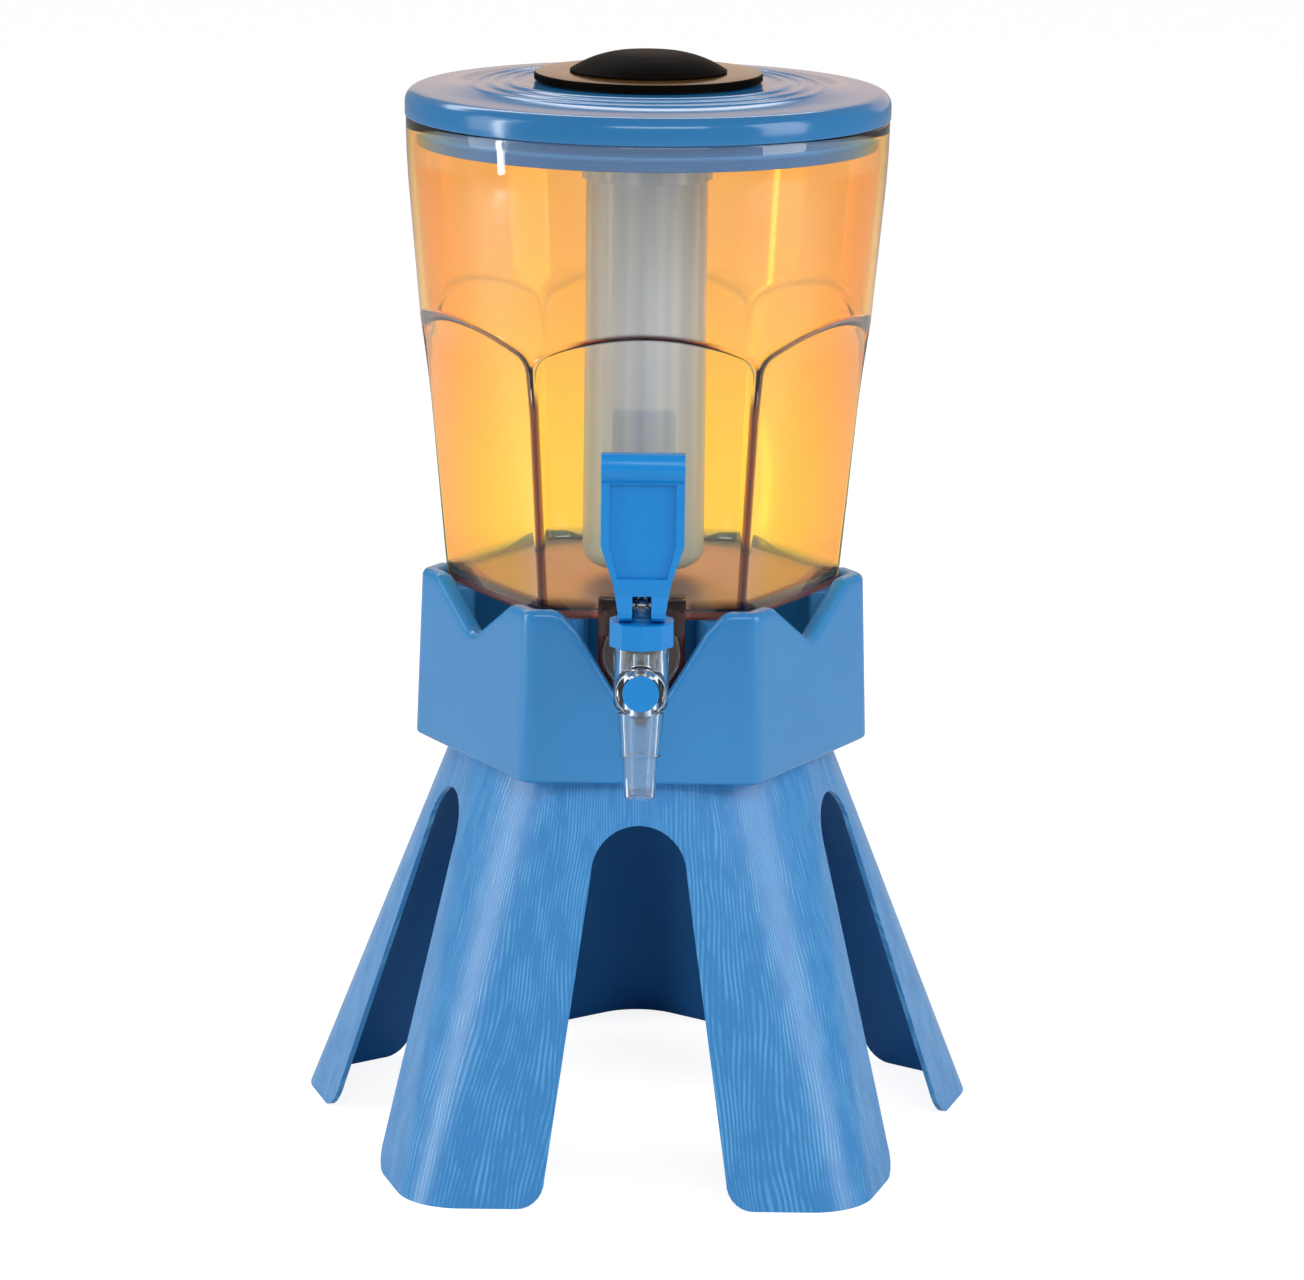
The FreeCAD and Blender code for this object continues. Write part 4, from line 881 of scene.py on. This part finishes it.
def facet_arc(corner, bow, share):
    """A point of a bowed side of the hexagon: how far across, and how far out."""
    half = corner / 2
    middle = corner * math.cos(math.pi / FACES) - math.sqrt(bow**2 - half**2)
    turn = share * math.asin(half / bow)
    return Vector((bow * math.sin(turn), middle + bow * math.cos(turn)))


def facet_point(share, level):
    """A point of a facet, nearly flat at the foot, bowed at the shoulder and part of a circle above it."""
    shoulder = facet_arc(TOP_CORNER, 118.0, share)
    if level <= SHOULDER:
        return facet_arc(FOOT_CORNER, 600.0, share).lerp(shoulder, level / SHOULDER)
    rise = min((level - SHOULDER) / (CROWN - SHOULDER), 1.0)
    return shoulder.lerp(facet_arc(81.6, 81.6, share), rise)


def soft_facet(share, level):
    """A facet's heading and radius, with the corner between two facets rounded."""
    spot = facet_point(share, level)
    total = 0.0
    for n in range(-4, 5):
        near = share + 0.014 * n
        near = 2 * math.copysign(1, near) - near if abs(near) > 1 else near
        total += facet_point(near, level).length
    return math.atan2(spot.x, spot.y), total / 9


def arch_level(across):
    """The level of a facet's arch at a place across the facet."""
    across = abs(across) / ARCH_STRETCH
    if across <= 34.0:
        return BOW_LEVEL + math.sqrt(BOW_RADIUS**2 - across**2)
    if across <= ROUND_ACROSS + ROUND_RADIUS:
        return ROUND_LEVEL + math.sqrt(max(ROUND_RADIUS**2 - (across - ROUND_ACROSS) ** 2, 0.0))
    return ARCH_SIDE


def inside_arch(across, level):
    """How far a place lies inside the arch's line. Below 0 is outside."""
    across = abs(across) / ARCH_STRETCH
    if level < ROUND_LEVEL:
        return ROUND_ACROSS + ROUND_RADIUS - across
    if level - ROUND_LEVEL < (across - ROUND_ACROSS) * math.tan(ROUND_START):
        return ROUND_RADIUS - math.hypot(across - ROUND_ACROSS, level - ROUND_LEVEL)
    return BOW_RADIUS - math.hypot(across, level - BOW_LEVEL)


def painted_dark_line(off, wide):
    """1 within a painted dark line along an edge, painted shade for its dark refraction, and 0 beside it.
    """
    return 1 - ease((off - wide) / 0.6 + 0.5)


def tank_skin(face, share, level):
    """Heading, radius and painted edge shade of the tank's outer face. Its arches step in sharply in front
    and softly behind. Dark lines are painted along the front facet's corners and arch, along the facets
    beside it, and faintly on the back: painted shade for the dark refraction at the wall's edges."""
    heading, facet = soft_facet(share, level)
    if level >= CROWN + 4:
        return heading, cone_radius(level), 0.0
    across = facet * math.sin(heading)
    if level >= ARCH_SIDE:
        cone = cone_radius(level)
    elif level >= RIDGE_FOOT:
        ridge = between(FOOT_CORNER, TOP_CORNER, RIDGE_FOOT / SHOULDER)
        cone = between(ridge, cone_radius(ARCH_SIDE), (level - RIDGE_FOOT) / (ARCH_SIDE - RIDGE_FOOT))
    else:
        cone = 0.0
    depth = inside_arch(across, level)
    # 0 on the front facet, rising to 1 across the facets beside it, and 1 on the back.
    behind = {0: 0.0, 1: share / 2 + 0.5, FACES - 1: 0.5 - share / 2}.get(face, 1.0)
    step_width = between(1.8, 5.0, behind)
    radius = between(max(cone, facet), facet, ease(depth / step_width + 0.5))
    from_corner = facet_point(1.0, min(level, SHOULDER)).x - abs(across)
    if face == 0:
        upright = painted_dark_line(from_corner, 1.5) * (1 - ease((level - 78) / 8))
        arch = painted_dark_line(abs(depth), 1.0) * (1 - ease((abs(across) - 20) / 10)) * ease((level - 92) / 4)
        return heading, radius, max(upright, arch)
    off = between(from_corner, abs(depth), ease((level - 68) / 14))
    if face in (1, FACES - 1):
        return heading, radius, painted_dark_line(off, between(1.3, 0.8, behind))
    return heading, radius, 0.12 * painted_dark_line(off, 0.8)


def level_line(level):
    """A row of the tank at one level all the way across a facet."""
    return lambda across: level


def arch_row(offset):
    """A row of the tank that follows the arch at an offset, and flattens out away from it."""

    def level_at(across):
        top = arch_level(across)
        return top + offset * ((top - 70) / 19 if offset < 0 else (112 - top) / 6.5)

    return level_at


def tank_rows():
    """The rows from the foot up the outside, over the rim, and down the inside to the floor, as (the row,
    inset, painted edge shade). They crowd where the wall bends. The foot and the floor's edge are painted
    dark in full."""
    near = [-16, -12, -9, -7, -5.5, -4.4, -3.5, -2.8, -2.2, -1.7, -1.3, -0.9, -0.6, -0.3, 0]
    near += [0.3, 0.6, 0.9, 1.3, 1.7, 2.2, 2.8, 3.5, 4.6, 6]
    walls = [level_line(between(8, 66, n / 12)) for n in range(13)] + [arch_row(offset) for offset in near]
    walls += [level_line(level) for level in (114, 120, 130, 140, 150, 160, 168, TANK_TALL - 0.9)]
    foot = [(0.0, 2.0, 1.0), (0.25, 1.1, 1.0), (0.9, 0.35, 1.0), (1.9, 0.0, 1.0), (3.5, 0.0, 1.0)]
    rim = [(TANK_TALL - 0.3, 0.2, 0.0), (TANK_TALL, 0.75, 0.0)]
    rim += [(TANK_TALL, TANK_WALL - 0.75, 0.0), (TANK_TALL - 0.3, TANK_WALL - 0.2, 0.0)]
    floor = [(4.2, TANK_WALL + 0.3, 1.0), (3.4, TANK_WALL + 0.9, 1.0), (3.0, TANK_WALL + 2.0, 0.0)]
    foot, rim, floor = [
        [(level_line(level), inset, dark) for level, inset, dark in rows] for rows in (foot, rim, floor)
    ]
    outer = [(wall, 0.0, 0.0) for wall in walls]
    inner = [(wall, TANK_WALL, 0.0) for wall in walls[::-1]]
    return foot + outer + rim + inner + floor


def make_tank():
    half = [0.0, 0.10, 0.20, 0.30, 0.40, 0.50, 0.60, 0.68, 0.75, 0.80]
    half += [between(0.82, 1.0, n / 16) for n in range(17)]
    shares = [-share for share in half[:0:-1]] + half[:-1]
    points, edge_shades, rings = [], [], []
    for level_at, inset, dark in tank_rows():
        rings.append(range(len(points), len(points) + len(shares) * FACES))
        for face in range(FACES):
            for share in shares:
                level = level_at(facet_point(share, 90.0).x)
                heading, radius, tint = tank_skin(face, share, level)
                turn = -math.pi / 2 + math.pi / 3 * face + heading
                radius -= inset
                points.append((radius * math.cos(turn), radius * math.sin(turn), TANK_Z + level))
                # The painted edge shade, kept for each point.
                edge_shades.append(max(tint, dark))
    faces = bands(rings) + [list(rings[0])[::-1], list(rings[-1])]
    tank = new_object("tank_shell", points, faces, edge=edge_shades)

    sump = new_object("sump", *block((-15.6, -63.1, TANK_Z - 29), (15.6, -36, TANK_Z + 1.5), 1.5))
    pad_outline = rounded([(0, 60.6), (14.2, 60.6), (14.2, 66.2, 0.6), (0, 66.2)])
    pad_low = new_object("pad_low", *lathe(pad_outline, 64, 0.0, INLET_Z, True))
    pad_high = block((-15.6, -66.2, TANK_Z - 5.2), (15.6, -60.6, TANK_Z + 8.5), 0.6)
    pad_high = new_object("pad_high", *pad_high)
    join_solids(tank, [sump, pad_low, pad_high], "UNION")
    well = new_object("well", *block((-13.1, -60.6, TANK_Z - 26.5), (13.1, -38.5, TANK_Z + 8), 1.0))
    hole = new_object("hole", *lathe([(0, 56), (8.7, 56), (8.7, 68), (0, 68)], 48, 0.0, INLET_Z, True))
    join_solids(tank, [well, hole], "DIFFERENCE")
    return dress(tank, [TANK_SAN], "tank", "clear_tank", "tank_body", angle=45)


# The tap and its return spring. Outlines are (radius, level) or (radius, level, round), with levels counted
# from the inlet's axis.


def make_tap_body():
    """The chamber with its spout, and the inlet, flange, threaded shank and front boss that grow out of
    it."""
    barrel = rounded(
        [
            (0, -47.4),
            (5.5, -47.4, 0.4),
            (6.4, -32.2, 0.3),
            (7.3, -32.2, 0.3),
            (8.3, -16.0, 1.0),
            (9.7, -13.4, 1.0),
            (9.7, 7.9, 0.5),
            (8.5, 7.9),
            (8.5, 14.2),
            (0, 14.2),
        ]
    )
    tap = new_object("tap_body_clear", *lathe(barrel, 64, TAP_Y, INLET_Z))
    inlet = new_object("inlet", *lathe([(0, 0), (7.6, 0), (7.6, -22), (0, -22)], 48, TAP_Y, INLET_Z, True))
    flange = rounded([(0, -21.8), (14.0, -21.8, 0.8), (14.0, -18.5, 0.8), (0, -18.5)])
    flange = new_object("flange", *lathe(flange, 64, TAP_Y, INLET_Z, True))
    thread = [(0, -20)]
    pitch = 1.5
    for n in range(12):
        start = -22.6 - n * pitch
        thread += [(7.7, start), (8.4, start - 0.5), (8.4, start - 0.8), (7.7, start - 1.3)]
    thread += [(7.4, -41.0), (0, -41.0)]
    shank = new_object("shank", *lathe(thread, 40, TAP_Y, INLET_Z, True))
    boss_level = INLET_Z - 6.4
    boss = rounded([(0, 0), (9.1, 0), (9.1, 14.4, 0.8), (0, 14.4)])
    boss = new_object("boss", *lathe(boss, 56, TAP_Y, boss_level, True))
    join_solids(tap, [inlet, flange, shank, boss], "UNION")
    hollow = [
        (0, -48),
        (4.3, -48),
        (4.3, -47.4),
        (5.2, -32.2),
        (6.1, -16.0),
        (4.4, -16.0),
        (4.4, -13.4),
        (7.2, -13.4),
        (7.2, 15),
        (0, 15),
    ]
    hollow = new_object("hollow", *lathe(hollow, 64, TAP_Y, INLET_Z))
    bore = new_object("bore", *lathe([(0, 0), (5.4, 0), (5.4, -42), (0, -42)], 40, TAP_Y, INLET_Z, True))
    socket = [(0, 8.95), (6.45, 8.95), (6.45, 15), (0, 15)]
    socket = new_object("socket", *lathe(socket, 48, TAP_Y, boss_level, True))
    core = new_object("core", *lathe([(0, 1), (5.4, 1), (5.4, 12), (0, 12)], 40, TAP_Y, boss_level, True))
    join_solids(tap, [hollow, bore, socket, core], "DIFFERENCE")
    return dress(tap, [TAP_SAN], "tank", "clear_tap", "tap_body", angle=35)


def make_return_spring():
    """The steel coil over the stem, drawn at rest. On the tap, its foot rises with the stem's piston, so it
    shortens against the cap nut."""
    low, high = (corner.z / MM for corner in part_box("return_spring"))
    wire, coil, turns, stroke = 0.4, 4.5, 3.5, 3.0
    steps, sides = 98, 10
    rise = high - low - 2 * wire
    points, rings = [], []
    for n in range(steps + 1):
        turn = 2 * math.pi * turns * n / steps
        out = Vector((math.cos(turn), math.sin(turn), 0.0))
        along = Vector((-out.y * coil, out.x * coil, rise / (2 * math.pi * turns))).normalized()
        upright = out.cross(along)
        middle = out * coil + Vector((0.0, TAP_Y, low + wire + rise * n / steps))
        rings.append(range(len(points), len(points) + sides))
        for side in range(sides):
            roll = 2 * math.pi * side / sides
            points.append(middle + (out * math.cos(roll) + upright * math.sin(roll)) * wire)
    spring = new_object("return_spring_coil", points, bands(rings) + [list(rings[0]), list(rings[-1])])
    dress(spring, [STEEL], "tank", "steel", "return_spring", angle=40)
    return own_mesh(spring)


# The lid, the ice tube and their caps, all turned about the tower's axis. Outlines are (radius, level) or
# (radius, level, round), with levels counted from the piece's own foot or shoulder.

LID_RADIUS = 87.6
LID_EDGE = 9.5
LID_TOP = 12.0
LID_FLAT = 44.0
LID_HOLE = 26.9
RIPPLE_RADIUS = 4.0
RIPPLE_HALF = 2.2


def make_lid():
    """A low cone with a flat middle, three ripples and a round shoulder, and a plug below the rim."""
    fall = (LID_TOP - LID_EDGE) / (81.6 - LID_FLAT)

    def slope(radius):
        return LID_TOP - fall * (radius - LID_FLAT)

    outline = [(LID_RADIUS, 0, 0.5), (LID_RADIUS, LID_EDGE, 7.5), (78.1, slope(78.1))]
    for middle in (63.0, 56.5, 50.0):
        for n in range(9):
            off = RIPPLE_HALF * between(1, -1, n / 8)
            lift = math.sqrt(RIPPLE_RADIUS**2 - off**2) - math.sqrt(RIPPLE_RADIUS**2 - RIPPLE_HALF**2)
            outline.append((middle + off, slope(middle + off) + lift))
    outline += [(LID_FLAT, LID_TOP), (LID_HOLE, LID_TOP, 0.5), (LID_HOLE, 9.0, 0.3), (LID_FLAT, 9.0)]
    outline += [(80.5, 6.5, 2.0), (80.216, -9.5, 0.4), (83.216, -9.5, 0.6), (84.0, 0.0)]
    lid = new_object("lid_dome", *lathe(rounded(outline, 7), 160, 0.0, RIM_Z))
    # Painted shade: the faces below the rim take the darker plug blue.
    for face in lid.data.polygons:
        below_rim = face.center.z < (RIM_Z - 0.5) * MM
        face.material_index = int(below_rim)
    return dress(lid, [LID_ABS, LID_PLUG_PAINTED_SHADE], "lid", "blue_plastic", "lid_shell", angle=40)


def make_ice_cap():
    """A flat disc over the threaded neck that holds the ice tube. Its top is polished black, and its upward
    faces are painted golden brown: a painted reflection of warm light.
    """
    outline = [
        (21.88, -22.8, 0.3),
        (25.4, -22.8, 0.5),
        (25.4, 0.0),
        (41.2, 0.0, 0.4),
        (41.2, 2.8, 1.0),
        (18.6, 2.8, 0.5),
        (18.6, -1.0, 0.3),
        (21.88, -1.0),
    ]
    cap = new_object("ice_cap_disc", *lathe(rounded(outline, 6), 128, 0.0, CAP_Z))
    # The upward faces take the painted reflection.
    for face in cap.data.polygons:
        facing_up = face.normal.z > 0.8
        face.material_index = int(facing_up)
    return dress(cap, [BLACK_ABS, CAP_TOP_PAINTED_REFLECTION], "ice_cap", "black_plastic", "ice_cap", angle=40)


def make_fill_plug():
    """A dome that falls in a bow from its flat middle to a thin edge, over a hollow stem."""
    edge, middle, bow_radius = Vector((28.3, 0.7)), Vector((13.0, 6.8)), 40.0
    chord = middle - edge
    across = Vector((-chord.y, chord.x)).normalized()
    centre = (edge + middle) / 2 + across * math.sqrt(bow_radius**2 - (chord.length / 2) ** 2)
    first = math.atan2(edge.y - centre.y, edge.x - centre.x)
    last = math.atan2(middle.y - centre.y, middle.x - centre.x)
    bow = []
    for n in range(13):
        turn = between(first, last, n / 12)
        bow.append((centre.x + bow_radius * math.cos(turn), centre.y + bow_radius * math.sin(turn)))
    stem = [(0, 4.8), (15.6, 4.1, 0.8), (15.6, -8.0, 0.3), (17.6, -8.0, 0.5), (17.6, 0.0)]
    outline = rounded(stem + [(edge.x, 0.0, 0.2)] + bow + [(0, middle.y)], 5)
    plug = new_object("fill_plug_dome", *lathe(outline, 128, 0.0, CAP_TOP_Z))
    return dress(plug, [BLACK_ABS], "fill_plug", "black_plastic", "fill_plug", angle=25)


def make_ice_tube():
    """A closed tube with a collar that seats under the cap, and the neck that goes into it."""
    outline = [
        (0, -142.5),
        (22.0, -142.5, 7.0),
        (22.0, 0.0),
        (23.6, 0.0, 0.4),
        (23.6, 11.6, 0.5),
        (21.8, 11.6),
        (21.8, 29.6, 0.4),
        (20.0, 29.6, 0.3),
        (20.0, -140.5, 5.0),
        (0, -140.5),
    ]
    tube = new_object("ice_tube_wall", *lathe(rounded(outline, 8), 96, 0.0, TUBE_Z))
    return dress(tube, [TUBE_PP], "ice_tube", "tube_plastic", "ice_tube", angle=35)


def soften_node(name, material, edge):
    """A CAD piece keeps its own shape and takes a material, with its edges broken by a small round."""
    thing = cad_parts[name]
    for place_in in thing.material_slots:
        place_in.material = material
    if not thing.material_slots:
        thing.data.materials.append(material)
    if edge:
        weld = thing.modifiers.new("weld", "WELD")
        weld.merge_threshold = 0.002 * MM
        trim = thing.modifiers.new("edge", "BEVEL")
        trim.width = edge * MM
        trim.segments = 3
        trim.limit_method = "ANGLE"
        trim.angle_limit = math.radians(30)
        trim.harden_normals = True


make_skirt()
make_collar()
make_tank()
make_tap_body()
make_return_spring()
make_lid()
make_ice_cap()
make_fill_plug()
make_ice_tube()
for name, material, edge in (
    ("collar_screws", STEEL, 0),
    ("tap_front_plug", LEVER_ABS, 0.5),
    ("tap_outer_gasket", BROWN_SILICONE, 0),
    ("tap_inner_gasket", BROWN_SILICONE, 0),
    ("tap_lock_nut", WHITE_ABS, 0.4),
    ("tap_cap_nut", LEVER_ABS, 0.4),
    ("tap_stem", TAP_SAN, 0),
    ("stem_seal_ring", GREY_SILICONE, 0),
    ("valve_seal", GREY_SILICONE, 0),
    ("lever_pin", STEEL, 0),
    ("tap_lever", LEVER_ABS, 0.5),
    ("lid_seal_ring", BLUE_SILICONE, 0),
    ("ice_cap_gasket", GREY_SILICONE, 0),
    ("fill_plug_ring", GREY_SILICONE, 0),
    ("ice_tube_seal", GREY_SILICONE, 0),
):
    soften_node(name, material, edge)


# The table, the lights and the camera.


def make_stage():
    """The table, and a white room. In polished pieces the room looks a third as bright, so they keep their
    colour."""
    table = bpy.data.meshes.new("table_top")
    side = 14.0
    corners = [(-side, -side, 0), (side, -side, 0), (side, side, 0), (-side, side, 0)]
    table.from_pydata(corners, [], [[0, 1, 2, 3]])
    table.materials.append(pale_table())
    thing = bpy.data.objects.new("table_top", table)
    bpy.context.scene.collection.objects.link(thing)

    world = bpy.data.worlds.new("soft_room")
    bpy.context.scene.world = world
    world.use_nodes = True
    tree = world.node_tree
    tree.nodes.clear()
    ray = add(tree, "LightPath")
    seen_or_through = add(
        tree,
        "Math",
        {0: ray.outputs["Is Camera Ray"], 1: ray.outputs["Is Transmission Ray"]},
        operation="ADD",
        use_clamp=True,
    )
    strength = add(tree, "MapRange", {"Value": seen_or_through.outputs[0], "To Min": 0.33})
    glow = add(
        tree,
        "Background",
        {"Color": (1.0, 1.0, 1.0, 1.0), "Strength": strength.outputs["Result"]},
    )
    add(tree, "OutputWorld", {"Surface": glow.outputs[0]})


def softbox(name, spot, aim, wide, tall, power, colour=(1.0, 1.0, 1.0)):
    """A soft lamp of a size in metres and a power in watts, aimed at a spot."""
    lamp = bpy.data.lights.new(name, "AREA")
    lamp.shape = "RECTANGLE"
    lamp.size, lamp.size_y = wide, tall
    lamp.energy = power
    lamp.color = colour
    thing = bpy.data.objects.new(name, lamp)
    bpy.context.scene.collection.objects.link(thing)
    thing.location = spot
    thing.rotation_euler = (Vector(aim) - Vector(spot)).to_track_quat("-Z", "Y").to_euler()


def make_camera():
    """A long lens above the lid's level, tilted down at the tower."""
    camera = bpy.data.cameras.new("view")
    image_width, focal_length_in_pixels = 1304, 5010
    camera.sensor_width = 36.0
    camera.lens = camera.sensor_width * focal_length_in_pixels / image_width
    camera.clip_end = 100
    thing = bpy.data.objects.new("view", camera)
    bpy.context.scene.collection.objects.link(thing)
    tilt, roll = 0.2313, 0.0120
    turn = Matrix.Rotation(math.pi / 2 - tilt, 4, "X") @ Matrix.Rotation(roll, 4, "Z")
    thing.matrix_world = Matrix.Translation((0.0037, -1.81076, 0.6071)) @ turn
    bpy.context.scene.camera = thing


make_stage()
softbox("left_panel", (-1.48, -0.30, 0.75), (0, 0, 0.25), 0.7, 1.3, 6)
softbox("left_strip", (-1.40, -0.46, 0.48), (0, 0, 0.1), 0.10, 0.9, 4.0)
softbox("right_panel", (1.38, -0.62, 0.8), (0, 0, 0.25), 0.7, 1.3, 11)
softbox("front_key", (0.2, -1.8, 1.65), (0, 0, 0.25), 1.6, 0.5, 14)
softbox("top_light", (-0.6, 1.4, 1.6), (0, 0, 0.38), 2.4, 0.32, 11)
softbox("back_panel", (0.5, 1.9, 0.75), (0, 0, 0.35), 2.2, 0.8, 3.8, (1.0, 0.62, 0.38))
make_camera()
bpy.context.scene.view_settings.view_transform = "Standard"
